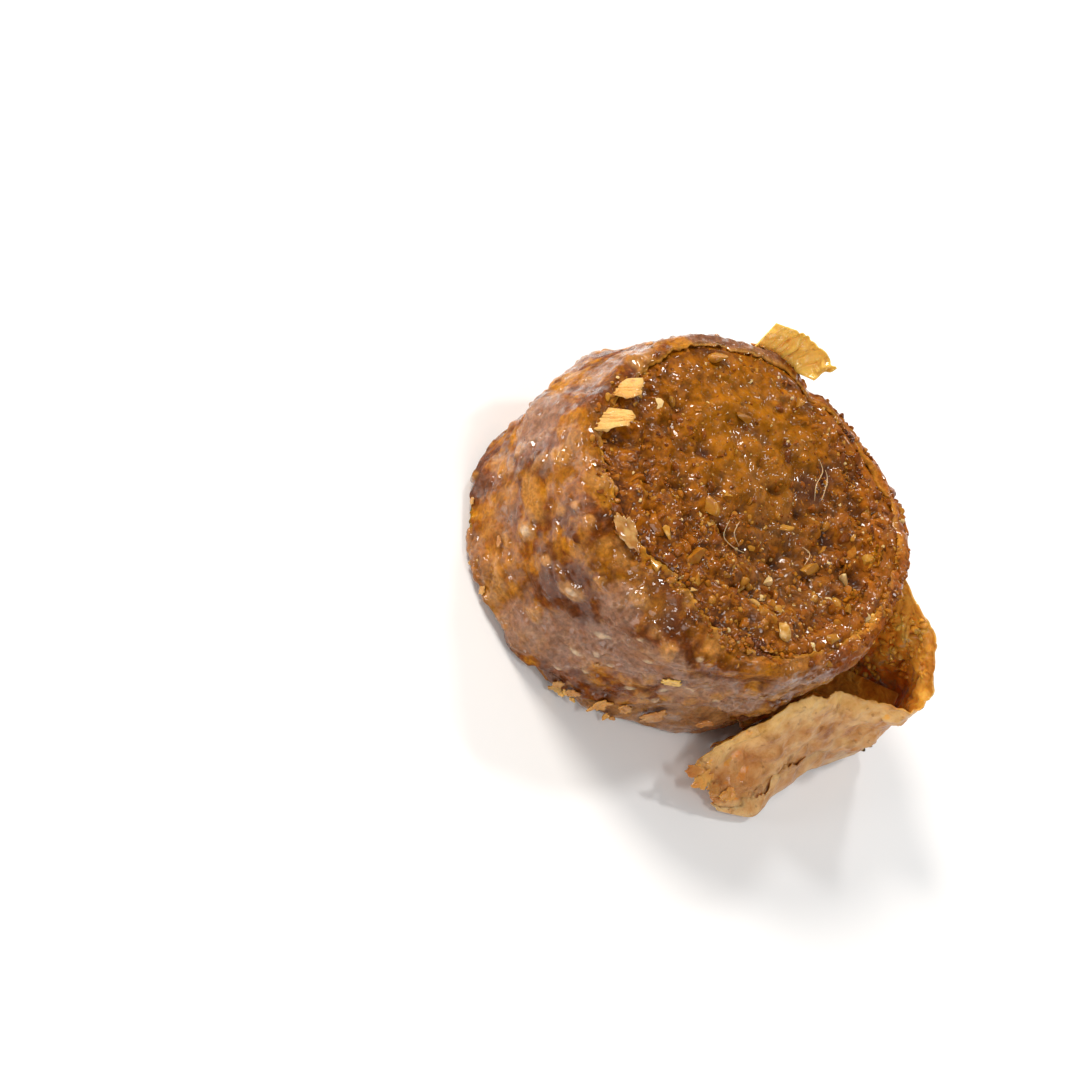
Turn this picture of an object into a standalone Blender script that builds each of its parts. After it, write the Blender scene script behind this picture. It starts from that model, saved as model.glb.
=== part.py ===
# One piece of rolled baklava, cut square from a longer roll of filo and chopped nuts.
# The piece stands on its lower cut face. +Z is the axis of the roll, and the loose end of the
# outer filo sheet has come away on the +X side, where it reaches the table and leans on the roll.

import math
import random

import bmesh
import bpy
from mathutils import Euler, Matrix, Vector, noise

MM = 0.001

# Driving sizes of the roll
ROLL_RADIUS = 15.6 * MM
ROLL_HEIGHT = 16.4 * MM
WALL = 1.1 * MM
LIP_DEPTH = 0.7 * MM
GAP = 0.35 * MM
PITCH = 3.3 * MM

# The outer sheet folds over the upper edge, most of all where the roll was pressed down
LIP_LEAST = 0.45 * MM
LIP_MOST = 3.6 * MM
LIP_AZIMUTH = -76
LIP_WIDTH = 34
SHOULDER_DROP = 3.0 * MM
SHOULDER_WIDTH = 40

# The ragged lower edge of the outer sheet, with the next layer showing under it
SKIRT_STEP = 0.5 * MM
SKIRT_HEIGHT = 1.9 * MM
HEM_LIFT = 0.4 * MM

# Chopped nuts that stand out of the cut face, by half their length
NUT_COUNT = 66
NUT_TRIES = 4000
NUT_LEAST = 0.75 * MM
NUT_MOST = 1.6 * MM
NUT_SINK = 0.42
NUT_SEED = 11

# Relief of the surfaces
CRUMB_RELIEF = 0.9 * MM
CRUMB_SIZE = 2.1 * MM
SPIRAL_RELIEF = 0.2 * MM
WALL_RELIEF = 0.6 * MM
LUMP_SIZE = 3.4 * MM
FOLD_RELIEF = 0.3 * MM
RIM_RELIEF = 0.5 * MM

# Facets
FACE_CELLS = 28
STEPS_ROUND = 4 * FACE_CELLS
LOOSE_CELLS = (38, 8)
FLAKE_CELLS = (6, 4)

# Thin filo
LOOSE_THICKNESS = 0.75 * MM
FLAKE_THICKNESS = 0.5 * MM

# Linear colours taken from the photo, and roughness of the syrupy surfaces
FILLING_COLOUR = (0.26, 0.09, 0.018)
FILLING_ROUGHNESS = 0.42
WRAP_COLOUR = (0.42, 0.17, 0.042)
WRAP_ROUGHNESS = 0.3


def clear_scene():
    for thing in list(bpy.data.objects):
        bpy.data.objects.remove(thing, do_unlink=True)


def new_collection(name):
    made = bpy.data.collections.new(name)
    bpy.context.scene.collection.children.link(made)
    return made


def food_material(name, colour, roughness):
    material = bpy.data.materials.new(name)
    material.use_nodes = True
    shader = material.node_tree.nodes["Principled BSDF"]
    shader.inputs["Base Color"].default_value = (*colour, 1.0)
    shader.inputs["Roughness"].default_value = roughness
    shader.inputs["Metallic"].default_value = 0.0
    return material


def ease(value):
    held = min(1.0, max(0.0, value))
    return held * held * (3 - 2 * held)


# 1 at the centre azimuth, falling to nothing within about two widths, all in degrees
def swell(azimuth, centre, width):
    away = (azimuth - centre + 180) % 360 - 180
    return math.exp(-((away / width) ** 2))


# 1 at the middle of a round patch of the cut face, falling to nothing outside it
def patch(x, y, centre_x, centre_y, size_x, size_y):
    across = (x - centre_x * MM) / (size_x * MM)
    deep = (y - centre_y * MM) / (size_y * MM)
    return math.exp(-(across * across) - deep * deep)


# Outside radius as a share of the mean one, at a height that is a share of the roll's
def girth(azimuth, share):
    turn = math.radians(azimuth)
    lobes = 0.034 * math.cos(2 * turn - 1.58) + 0.018 * math.cos(3 * turn - 1.68)
    dents = 0.006 * math.cos(5 * turn) + 0.005 * math.cos(8 * turn + 2.0)
    corners = 0.1 * swell(azimuth, 57, 18) + 0.02 * swell(azimuth, 98, 12)
    corners += 0.025 * swell(azimuth, -145, 20)
    flats = 0.026 * swell(azimuth, 150, 16) + (0.07 * share - 0.03) * swell(azimuth, -8, 24)
    foot = 0.1 * (1 - share) * swell(azimuth, -114, 36)
    belly = 0.1 * math.sin(math.pi * ease(share)) * swell(azimuth, 186, 34)
    belly += 0.05 * math.sin(math.pi * share) * swell(azimuth, 2, 15)
    torn = 0.065 * share * share * swell(azimuth, 114, 5)
    return 1 + lobes + dents + corners - flats + foot + belly - torn


# Slow rise and fall of the cut face: a syrupy plateau beside a hollow of loose nuts
def face_form(x, y):
    plateau = 0.9 * MM * patch(x, y, -6.4, 2.4, 6.2, 7.5)
    hollow = 1.7 * MM * patch(x, y, 6.4, 0.4, 4.6, 6.2)
    pit = 0.9 * MM * patch(x, y, -10.4, -9.6, 2.6, 2.6)
    return plateau - hollow - pit


# A point of the true cylinder, moved to where it lies in the uneven roll
def settle(radius, azimuth, height):
    turn = math.radians(azimuth)
    share = min(1.0, max(0.0, height / ROLL_HEIGHT))
    outward = min(1.0, radius / ROLL_RADIUS)
    point = Vector((radius * math.cos(turn), radius * math.sin(turn), 0))
    drop = SHOULDER_DROP * swell(azimuth, LIP_AZIMUTH, SHOULDER_WIDTH) * ease((outward - 0.58) / 0.42)
    rise = face_form(point.x, point.y) * ease((share - 0.2) / 0.8)
    point *= 1 + (girth(azimuth, share) - 1) * outward
    point.z = height * (1 - drop / ROLL_HEIGHT) + rise
    return point


# Radius at which the folded-over sheet ends on the cut face
def lip_edge(azimuth):
    length = LIP_LEAST + (LIP_MOST - LIP_LEAST) * swell(azimuth, LIP_AZIMUTH, LIP_WIDTH)
    return ROLL_RADIUS - WALL - GAP - length


# Noise read on a circle, so that it meets itself after a full turn
def round_noise(azimuth, height, cell, seed):
    turn = math.radians(azimuth)
    reach = ROLL_RADIUS / cell
    return noise.noise(Vector((math.cos(turn) * reach, math.sin(turn) * reach + seed, height / cell)))


# Height of the outer sheet's ragged lower edge
def skirt(azimuth):
    ragged = round_noise(azimuth, 0, 3.2 * MM, 3) + 0.6 * round_noise(azimuth, 0, 1.3 * MM, 8)
    return SKIRT_HEIGHT * (0.72 + 0.55 * swell(azimuth, -30, 45) + 0.45 * ragged)


# Height of the small crumbs and of the layer edges on the cut face
def crumb_relief(x, y):
    at = Vector((x / CRUMB_SIZE, y / CRUMB_SIZE, 0.3))
    grains = 0.5 - noise.voronoi(at)[0][0]
    small = noise.noise(at * 2.6)
    turns = math.hypot(x, y) / PITCH - math.atan2(y, x) / math.tau
    return CRUMB_RELIEF * (grains + 0.35 * small) + SPIRAL_RELIEF * math.cos(math.tau * turns)


# How far the nuts under the outer sheet, and its own folds, push the wall out
def wall_relief(azimuth, height):
    lumps = max(round_noise(azimuth, height, LUMP_SIZE, 0), -0.15)
    folds = abs(round_noise(azimuth, 2.2 * height, 2.6 * MM, 20))
    return WALL_RELIEF * lumps + FOLD_RELIEF * (folds - 0.15)


# Polar place of a point of the square from -1 to 1, spread over the unit disc
def square_to_disc(a, b):
    if a == 0 and b == 0:
        return 0.0, 0.0
    if abs(a) >= abs(b):
        return abs(a), 45 * b / a + (0 if a > 0 else 180)
    return abs(b), 90 - 45 * a / b + (0 if b > 0 else 180)


# (radius, height) down the outside of the filling, from under the lip to the lower face
def filling_side(azimuth):
    wall = ROLL_RADIUS - WALL - GAP
    edge = lip_edge(azimuth)
    under_lip = ROLL_HEIGHT - LIP_DEPTH - GAP
    return [
        (edge + 0.05 * MM, under_lip),
        ((edge + wall) / 2, under_lip),
        (wall - 0.2 * MM, under_lip),
        (wall, under_lip - 0.3 * MM),
        (wall, ROLL_HEIGHT * 0.6),
        (wall, ROLL_HEIGHT * 0.3),
        (wall, 0.3 * MM),
        (wall - 0.3 * MM, 0.0),
    ]


# A point of the cut face, at a share of the way out to the lip
def on_face(share, azimuth):
    point = settle(share * lip_edge(azimuth), azimuth, ROLL_HEIGHT)
    point.z += crumb_relief(point.x, point.y) * (1 - ease((share - 0.8) / 0.2))
    return point


def make_filling_body():
    work = bmesh.new()
    bmesh.ops.create_grid(work, x_segments=FACE_CELLS, y_segments=FACE_CELLS, size=1)
    places = {}
    for vertex in work.verts:
        share, azimuth = square_to_disc(round(vertex.co.x, 6), round(vertex.co.y, 6))
        turn = math.radians(azimuth)
        vertex.co = Vector((share * math.cos(turn), share * math.sin(turn), 0))
        places[vertex] = on_face(share, azimuth)
    rim = [edge for edge in work.edges if edge.is_boundary]
    for row in range(len(filling_side(0))):
        grown = bmesh.ops.extrude_edge_only(work, edges=rim)["geom"]
        for vertex in [item for item in grown if isinstance(item, bmesh.types.BMVert)]:
            azimuth = math.degrees(math.atan2(vertex.co.y, vertex.co.x))
            radius, height = filling_side(azimuth)[row]
            places[vertex] = settle(radius, azimuth, height)
        rim = [item for item in grown if isinstance(item, bmesh.types.BMEdge) and item.is_boundary]
    bmesh.ops.holes_fill(work, edges=rim, sides=0)
    for vertex, point in places.items():
        vertex.co = point
    bmesh.ops.recalc_face_normals(work, faces=work.faces)
    mesh = bpy.data.meshes.new("nut_filling")
    work.to_mesh(mesh)
    work.free()
    return bpy.data.objects.new("nut_filling", mesh)


def make_nut(index, centre, half, turned):
    mesh = bpy.data.meshes.new("nut")
    work = bmesh.new()
    size = Matrix.Diagonal((half, half * 0.74, half * 0.58, 1))
    place = Matrix.Translation(centre) @ Euler(turned).to_matrix().to_4x4() @ size
    bmesh.ops.create_icosphere(work, subdivisions=1, radius=1, matrix=place)
    work.to_mesh(mesh)
    work.free()
    return bpy.data.objects.new(f"nut_{index}", mesh)


# Nuts more than half sunk in the cut face, at random places clear of each other and of the wrap
def scatter_nuts():
    draw = random.Random(NUT_SEED)
    taken = []
    nuts = []
    for attempt in range(NUT_TRIES):
        azimuth = draw.uniform(0, 360)
        share = 0.85 * math.sqrt(draw.random())
        half = draw.uniform(NUT_LEAST, NUT_MOST)
        turned = [draw.uniform(0, math.pi) for axis in range(3)]
        centre = on_face(share, azimuth)
        crowded = any((centre - other).length < 0.8 * (half + reach) for other, reach in taken)
        if crowded or len(nuts) == NUT_COUNT:
            continue
        taken.append((centre.copy(), half))
        centre.z -= NUT_SINK * half
        nuts.append(make_nut(len(nuts), centre, half, turned))
    return nuts


def make_filling(target):
    filling = make_filling_body()
    target.objects.link(filling)
    fuse(filling, scatter_nuts())
    filling.data.materials.append(food_material("nut_filling", FILLING_COLOUR, FILLING_ROUGHNESS))
    return filling


# A grid of cells, each corner at place(column, row). A closed one meets itself both ways.
def placed_grid(name, columns, rows, place, closed):
    mesh = bpy.data.meshes.new(name)
    work = bmesh.new()
    bmesh.ops.create_grid(work, x_segments=columns, y_segments=rows, size=0.5)
    for vertex in work.verts:
        column = round((vertex.co.x + 0.5) * columns)
        row = round((vertex.co.y + 0.5) * rows)
        if closed:
            column %= columns
            row %= rows
        vertex.co = place(column, row)
    bmesh.ops.remove_doubles(work, verts=work.verts, dist=1e-7)
    bmesh.ops.triangulate(work, faces=work.faces, quad_method="ALTERNATE")
    bmesh.ops.recalc_face_normals(work, faces=work.faces)
    work.to_mesh(mesh)
    work.free()
    return bpy.data.objects.new(name, mesh)


# (radius, height, share of the relief) once round the wrap's section, from its lower outer edge
def wrap_section(azimuth):
    outer = ROLL_RADIUS
    inner = ROLL_RADIUS - WALL
    lip = lip_edge(azimuth) + GAP + 0.1 * MM
    top = ROLL_HEIGHT
    under = top - LIP_DEPTH
    hem = HEM_LIFT * (1 + round_noise(azimuth, 0, 2.4 * MM, 14))
    step = max(skirt(azimuth), hem + 0.5 * MM)
    section = [
        (outer - SKIRT_STEP - 0.15 * MM, hem, 0.3),
        (outer - SKIRT_STEP, hem + 0.25 * MM, 0.5),
        (outer - SKIRT_STEP, step, 0.5),
    ]
    foot = step + 0.15 * MM
    brow = top - 1.2 * MM
    for share in (0, 0.12, 0.25, 0.38, 0.51, 0.64, 0.77, 0.9, 1):
        section.append((outer, foot + (brow - foot) * share, 1.0))
    section += [
        (outer - 0.25 * MM, top - 0.4 * MM, 0.5),
        (outer - 0.8 * MM, top - 0.02 * MM, 0.0),
        ((outer - 0.8 * MM + lip) / 2, top + 0.1 * MM, 0.0),
        (lip, top, 0.0),
        (lip + 0.02 * MM, under, 0.0),
        ((lip + inner) / 2, under, 0.0),
        (inner - 0.2 * MM, under, 0.0),
        (inner, under - 0.3 * MM, 0.0),
        (inner, top * 0.6, 0.0),
        (inner, top * 0.3, 0.0),
        (inner, hem, 0.0),
    ]
    return section


def make_wrap_ring():
    rows = len(wrap_section(0))

    def place(column, row):
        azimuth = 360 * column / STEPS_ROUND
        radius, height, relief = wrap_section(azimuth)[row]
        point = settle(radius, azimuth, height)
        outward = Vector((point.x, point.y, 0)).normalized()
        point += outward * relief * wall_relief(azimuth, height)
        if height > ROLL_HEIGHT - 0.1 * MM:
            point.z += RIM_RELIEF * max(0.0, round_noise(azimuth, 0, 1.6 * MM, 31))
        return point

    return placed_grid("phyllo_wrap", STEPS_ROUND, rows, place, True)


# Smooth curve through the points, its share running from 0 at the first to 1 at the last
def curve_through(points, share):
    spans = len(points) - 1
    at = min(share * spans, spans - 1e-9)
    first = int(at)
    t = at - first
    before, a, b, after = (points[min(max(first + k, 0), spans)] for k in (-1, 0, 1, 2))
    line = 2 * a + (b - before) * t
    bend = (2 * before - 5 * a + 4 * b - after) * t ** 2
    twist = (3 * a - before - 3 * b + after) * t ** 3
    return 0.5 * (line + bend + twist)


def spot(x, y, z):
    return Vector((x, y, z)) * MM


# A point in the middle of the wrap's wall, at an azimuth in degrees and a height in millimetres
def in_wall(azimuth, height):
    return settle(ROLL_RADIUS - WALL / 2, azimuth, height * MM)


# A sheet spanned between two edges, bowed and creased, then given its thickness
def make_leaf(name, lower, upper, cells, thickness, bow, crease):
    lengths, widths = cells
    outward = (upper[len(upper) // 2] + lower[len(lower) // 2]) * 0.5
    outward = Vector((outward.x, outward.y, 0)).normalized()

    def place(column, row):
        along = column / lengths
        across = row / widths
        point = curve_through(lower, along).lerp(curve_through(upper, along), across)
        free = ease((along - 0.1) / 0.2)
        folded = noise.noise(Vector((along * 14, across * 2.2, 3.1)))
        away = bow * math.sin(math.pi * across) + crease * folded * ease(across * 4)
        return point + outward * free * away

    leaf = placed_grid(name, lengths, widths, place, False)
    solid = leaf.modifiers.new("thickness", "SOLIDIFY")
    solid.thickness = thickness
    solid.offset = 0.0
    solid.use_even_offset = False
    return leaf


# The outer sheet's loose end, from inside the wall, out round a bend, and back to its torn tip
def make_loose_end():
    pairs = [
        (in_wall(60, 2.4), in_wall(60, 14.4)),
        (in_wall(51, 1.6), in_wall(51, 14.8)),
        (spot(14.6, 13.2, 0.8), spot(13.8, 12.6, 15.0)),
        (spot(18.2, 13.7, 0.6), spot(17.2, 12.5, 14.8)),
        (spot(21.5, 13.4, 0.6), spot(20.3, 11.4, 13.0)),
        (spot(22.9, 11.3, 0.6), spot(21.4, 9.5, 11.5)),
        (spot(22.4, 8.3, 0.6), spot(19.7, 7.1, 10.9)),
        (spot(22.0, 5.4, 0.6), spot(17.8, 4.7, 10.3)),
        (spot(22.1, 2.6, 0.55), spot(16.3, 1.5, 9.7)),
        (spot(22.3, 0.0, 0.5), spot(15.9, -1.5, 7.1)),
        (spot(22.6, -2.6, 0.55), spot(15.9, -5.0, 4.3)),
        (spot(20.6, -5.9, 0.6), spot(16.2, -8.9, 2.7)),
    ]
    lower = [pair[0] for pair in pairs]
    upper = [pair[1] for pair in pairs]
    return make_leaf("loose_end", lower, upper, LOOSE_CELLS, LOOSE_THICKNESS, 0.6 * MM, 0.4 * MM)


# Stiff flakes of filo that stand up from the upper edge of the wrap
def make_flakes():
    back = make_leaf(
        "flake_back",
        [in_wall(139, 15.2), in_wall(131, 15.3), in_wall(124, 15.6), spot(-6.2, 12.9, 17.0)],
        [spot(-12, 11.3, 18), spot(-10.3, 12.3, 18.9), spot(-8.4, 13.2, 19.3), spot(-6, 13.8, 19)],
        FLAKE_CELLS,
        FLAKE_THICKNESS,
        0.35 * MM,
        0.4 * MM,
    )
    front_upper = make_leaf(
        "flake_front_upper",
        [in_wall(-158, 15.2), in_wall(-153, 15.4), in_wall(-149, 15.2)],
        [spot(-13.7, -5.3, 17.4), spot(-12.9, -6.2, 17.7), spot(-12.5, -7.2, 17.3)],
        FLAKE_CELLS,
        FLAKE_THICKNESS,
        0.2 * MM,
        0.2 * MM,
    )
    front_lower = make_leaf(
        "flake_front_lower",
        [in_wall(-147, 15.2), in_wall(-142, 15.4), in_wall(-137, 15.1)],
        [spot(-11.8, -8.0, 17.2), spot(-11.0, -8.4, 17.6), spot(-10.6, -9.4, 17.0)],
        FLAKE_CELLS,
        FLAKE_THICKNESS,
        0.2 * MM,
        0.2 * MM,
    )
    return [back, front_upper, front_lower]


# Makes the object's modifiers part of its mesh
def apply_modifiers(thing):
    graph = bpy.context.evaluated_depsgraph_get()
    mesh = bpy.data.meshes.new_from_object(thing.evaluated_get(graph))
    thing.modifiers.clear()
    thing.data = mesh


# Drops the scraps and the sealed pockets that the union leaves beside the main body
def keep_largest_shell(thing):
    work = bmesh.new()
    work.from_mesh(thing.data)
    unseen = set(work.verts)
    shells = []
    while unseen:
        shell = set()
        front = [unseen.pop()]
        while front:
            vertex = front.pop()
            shell.add(vertex)
            near = {edge.other_vert(vertex) for edge in vertex.link_edges} & unseen
            unseen -= near
            front.extend(near)
        shells.append(shell)
    largest = max(shells, key=len)
    spare = [vertex for vertex in work.verts if vertex not in largest]
    bmesh.ops.delete(work, geom=spare, context="VERTS")
    work.to_mesh(thing.data)
    work.free()


# Joins the pieces to the base as one closed body
def fuse(base, pieces):
    joined = new_collection("joined")
    for piece in pieces:
        joined.objects.link(piece)
    bpy.context.view_layer.update()
    for piece in pieces:
        apply_modifiers(piece)
    union = base.modifiers.new("joined", "BOOLEAN")
    union.operation = "UNION"
    union.operand_type = "COLLECTION"
    union.collection = joined
    union.solver = "MANIFOLD"
    bpy.context.view_layer.update()
    apply_modifiers(base)
    for piece in pieces:
        bpy.data.objects.remove(piece, do_unlink=True)
    bpy.data.collections.remove(joined)
    keep_largest_shell(base)
    base.data.materials.clear()


def make_wrap(target):
    wrap = make_wrap_ring()
    target.objects.link(wrap)
    fuse(wrap, [make_loose_end(), *make_flakes()])
    wrap.data.materials.append(food_material("phyllo_wrap", WRAP_COLOUR, WRAP_ROUGHNESS))
    return wrap


def main():
    clear_scene()
    baklava = new_collection("baklava_piece")
    for piece in (make_filling(baklava), make_wrap(baklava)):
        piece.data.shade_smooth()
        piece.data.set_sharp_from_angle(angle=math.radians(60))


main()
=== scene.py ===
import math

import bmesh
import bpy
import numpy as np
from mathutils import Matrix, Vector, noise
from mathutils.bvhtree import BVHTree


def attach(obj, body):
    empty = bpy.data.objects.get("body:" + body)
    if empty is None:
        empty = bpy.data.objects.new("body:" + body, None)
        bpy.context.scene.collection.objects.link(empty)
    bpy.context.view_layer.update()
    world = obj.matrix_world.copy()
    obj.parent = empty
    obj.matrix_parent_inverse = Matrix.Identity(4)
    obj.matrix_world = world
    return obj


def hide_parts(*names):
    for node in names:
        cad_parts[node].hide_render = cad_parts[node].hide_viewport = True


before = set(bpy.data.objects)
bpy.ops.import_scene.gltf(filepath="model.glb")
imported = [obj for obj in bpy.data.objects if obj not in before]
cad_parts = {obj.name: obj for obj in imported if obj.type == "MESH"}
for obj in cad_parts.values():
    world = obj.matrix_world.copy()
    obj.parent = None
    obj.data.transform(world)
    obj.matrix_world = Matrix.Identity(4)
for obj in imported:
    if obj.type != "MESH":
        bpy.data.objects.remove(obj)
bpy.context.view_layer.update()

mm = 0.001  # every size below is in millimetres, and every angle in degrees
print("frame loaded")

# The form of the roll, as the solids have it
roll = {
    "radius": 15.6,
    "height": 16.4,
    "wall": 1.1,
    "lipDepth": 0.7,
    "gap": 0.35,
    "pitch": 3.3,  # from one turn of filo to the next
    "lipLeast": 0.45,
    "lipMost": 3.6,  # how far the outer sheet folds over the cut face at the front
    "lipAzimuth": -76,
    "lipWidth": 34,
    "shoulderDrop": 3.0,
    "shoulderWidth": 40,
}


def ease(value):
    held = np.clip(value, 0.0, 1.0)
    return held * held * (3 - 2 * held)


def swell(azimuth, centre, width):
    away = (azimuth - centre + 180) % 360 - 180
    return np.exp(-((away / width) ** 2))


def patch(x, y, centreX, centreY, sizeX, sizeY):
    return np.exp(-(((x - centreX) / sizeX) ** 2) - ((y - centreY) / sizeY) ** 2)


# Outside radius as a share of the mean one
def girth(azimuth, share):
    turn = np.radians(azimuth)
    lobes = 0.034 * np.cos(2 * turn - 1.58) + 0.018 * np.cos(3 * turn - 1.68)
    dents = 0.006 * np.cos(5 * turn) + 0.005 * np.cos(8 * turn + 2.0)
    corners = 0.1 * swell(azimuth, 57, 18) + 0.02 * swell(azimuth, 98, 12)
    corners = corners + 0.025 * swell(azimuth, -145, 20)
    flats = 0.026 * swell(azimuth, 150, 16) + (0.07 * share - 0.03) * swell(azimuth, -8, 24)
    foot = 0.1 * (1 - share) * swell(azimuth, -114, 36)
    belly = 0.1 * np.sin(math.pi * ease(share)) * swell(azimuth, 186, 34)
    belly = belly + 0.05 * np.sin(math.pi * share) * swell(azimuth, 2, 15)
    torn = 0.065 * share * share * swell(azimuth, 114, 5)
    return 1 + lobes + dents + corners - flats + foot + belly - torn


# Syrupy plateau and the hollow of loose nuts beside it
def faceForm(x, y):
    plateau = 0.9 * patch(x, y, -6.4, 2.4, 6.2, 7.5)
    hollow = 1.7 * patch(x, y, 6.4, 0.4, 4.6, 6.2)
    pit = 0.9 * patch(x, y, -10.4, -9.6, 2.6, 2.6)
    return plateau - hollow - pit


# A point of the true cylinder, moved to where it lies in the uneven roll
def settle(radius, azimuth, height):
    turn = np.radians(azimuth)
    share = np.clip(height / roll["height"], 0, 1)
    outward = np.minimum(1.0, radius / roll["radius"])
    x = radius * np.cos(turn)
    y = radius * np.sin(turn)
    pressed = swell(azimuth, roll["lipAzimuth"], roll["shoulderWidth"])
    drop = roll["shoulderDrop"] * pressed * ease((outward - 0.58) / 0.42)
    rise = faceForm(x, y) * ease((share - 0.2) / 0.8)
    wider = 1 + (girth(azimuth, share) - 1) * outward
    return np.stack([x * wider, y * wider, height * (1 - drop / roll["height"]) + rise], -1)


def lipEdge(azimuth):
    pressed = swell(azimuth, roll["lipAzimuth"], roll["lipWidth"])
    length = roll["lipLeast"] + (roll["lipMost"] - roll["lipLeast"]) * pressed
    return roll["radius"] - roll["wall"] - roll["gap"] - length


# Gradient noise in space, from about -1 to 1, with lumps of the given size
def readNoise(points, size, shift=0.0):
    flat = np.asarray(points, float).reshape(-1, 3) / size + (0, shift, 0)
    values = [noise.noise(point) for point in flat.tolist()]
    return np.array(values).reshape(np.shape(points)[:-1])


# Distance to the nearest of scattered seeds, in units of the cell's size
def readCells(points, size, shift=0.0):
    flat = np.asarray(points, float).reshape(-1, 3) / size + (0, shift, 0)
    values = [noise.voronoi(point)[0][0] for point in flat.tolist()]
    return np.array(values).reshape(np.shape(points)[:-1])


def onDrum(azimuth, height):
    turn = np.radians(azimuth)
    height = height + 0 * turn
    return np.stack([roll["radius"] * np.cos(turn), roll["radius"] * np.sin(turn), height], -1)


def unit(vectors):
    return vectors / np.maximum(np.linalg.norm(vectors, axis=-1, keepdims=True), 1e-12)


# Camera where the photograph was taken from, in the frame of the piece
shot = {
    "right": (0.49, 0.648, 0.58),
    "down": (0.87, -0.365, -0.327),
    "middle": (0, 0, 8.2),
    "aside": -12.609,
    "below": 0.3425,
    "distance": 480,
    "frame": 90.226,  # width of what the picture takes in, at the piece
    "pixels": 1080,
}
imageRight = Vector(shot["right"]).normalized()
imageDown = Vector(shot["down"])
imageDown = (imageDown - imageRight * imageDown.dot(imageRight)).normalized()
towardEye = imageRight.cross(-imageDown).normalized()
aim = Vector(shot["middle"]) + imageRight * shot["aside"] + imageDown * shot["below"]
eye = (aim + towardEye * shot["distance"]) * mm

lens = bpy.data.cameras.new("closeUpLens")
lens.sensor_width = 36
lens.lens = 36 * shot["distance"] / shot["frame"]
lens.clip_start = 0.01
camera = bpy.data.objects.new("camera", lens)
turned = Matrix((imageRight, -imageDown, towardEye)).transposed().to_4x4()
turned.translation = eye
camera.matrix_world = turned
bpy.context.scene.collection.objects.link(camera)
bpy.context.scene.camera = camera

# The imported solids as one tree, so that details found in the picture sit on their surface
solidPoints = []
solidFaces = []
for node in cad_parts.values():
    first = len(solidPoints)
    solidPoints += [vertex.co.copy() for vertex in node.data.vertices]
    solidFaces += [[first + corner for corner in face.vertices] for face in node.data.polygons]
solidTree = BVHTree.FromPolygons(solidPoints, solidFaces)


# The point under a pixel of the photograph, and the way the surface faces there
def underPixel(x, y):
    half = shot["pixels"] / 2
    step = shot["frame"] / shot["pixels"]
    target = (aim + imageRight * (x - half) * step + imageDown * (y - half) * step) * mm
    hit, normal, face, far = solidTree.ray_cast(eye, (target - eye).normalized())
    return np.array(hit) / mm, np.array(normal)


def srgb(code, alpha=1.0):
    parts = [int(code[at:at + 2], 16) / 255 for at in (1, 3, 5)]
    return (*[part / 12.92 if part <= 0.04045 else ((part + 0.055) / 1.055) ** 2.4 for part in parts], alpha)


# One mesh piece from its points and faces, with a number at each point for what the material reads
def makePiece(name, points, faces, material, node, marks=None, sharp=None):
    mesh = bpy.data.meshes.new(name)
    mesh.vertices.add(len(points))
    mesh.vertices.foreach_set("co", (np.asarray(points) * mm).astype(np.float32).ravel())
    mesh.loops.add(faces.size)
    mesh.loops.foreach_set("vertex_index", faces.astype(np.int32).ravel())
    mesh.polygons.add(len(faces))
    mesh.polygons.foreach_set("loop_start", np.arange(0, faces.size, faces.shape[1], dtype=np.int32))
    mesh.update(calc_edges=True)
    for mark, values in (marks or {}).items():
        layer = mesh.attributes.new(mark, "FLOAT", "POINT")
        layer.data.foreach_set("value", np.asarray(values, np.float32).ravel())
    work = bmesh.new()
    work.from_mesh(mesh)
    bmesh.ops.recalc_face_normals(work, faces=work.faces)
    work.to_mesh(mesh)
    work.free()
    mesh.shade_smooth()
    if sharp:
        mesh.set_sharp_from_angle(angle=math.radians(sharp))
    mesh.materials.append(material)
    piece = bpy.data.objects.new(name, mesh)
    bpy.context.scene.collection.objects.link(piece)
    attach(piece, "root")
    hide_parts(node)
    print(f"{name}: {sum(len(face.vertices) - 2 for face in mesh.polygons)} triangles")
    return piece


def gridFaces(index):
    corners = (index[:-1, :-1], index[:-1, 1:], index[1:, 1:], index[1:, :-1])
    return np.stack(corners, -1).reshape(-1, 4)


# Two faces of a thin sheet and the narrow band round its edge
def shellFaces(rows, columns):
    front = np.arange(rows * columns).reshape(rows, columns)
    back = front + rows * columns
    rim = np.concatenate([front[0, :-1], front[:-1, -1], front[-1, :0:-1], front[:0:-1, 0]])
    after = np.roll(rim, -1)
    band = np.stack([rim, rim + rows * columns, after + rows * columns, after], -1)
    return np.concatenate([gridFaces(front), gridFaces(back)[:, ::-1], band])


# Several shells as one: points, faces that count on, and what is marked at each point
def joinShells(shells):
    firsts = np.cumsum([0] + [len(points) for points, faces, marks in shells])
    points = np.concatenate([shell[0] for shell in shells])
    faces = np.concatenate([shell[1] + first for shell, first in zip(shells, firsts)])
    marks = {mark: np.concatenate([shell[2][mark] for shell in shells]) for mark in shells[0][2]}
    return points, faces, marks


def surfaceNormals(grid):
    return unit(np.cross(np.gradient(grid, axis=0), np.gradient(grid, axis=1)))


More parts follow.
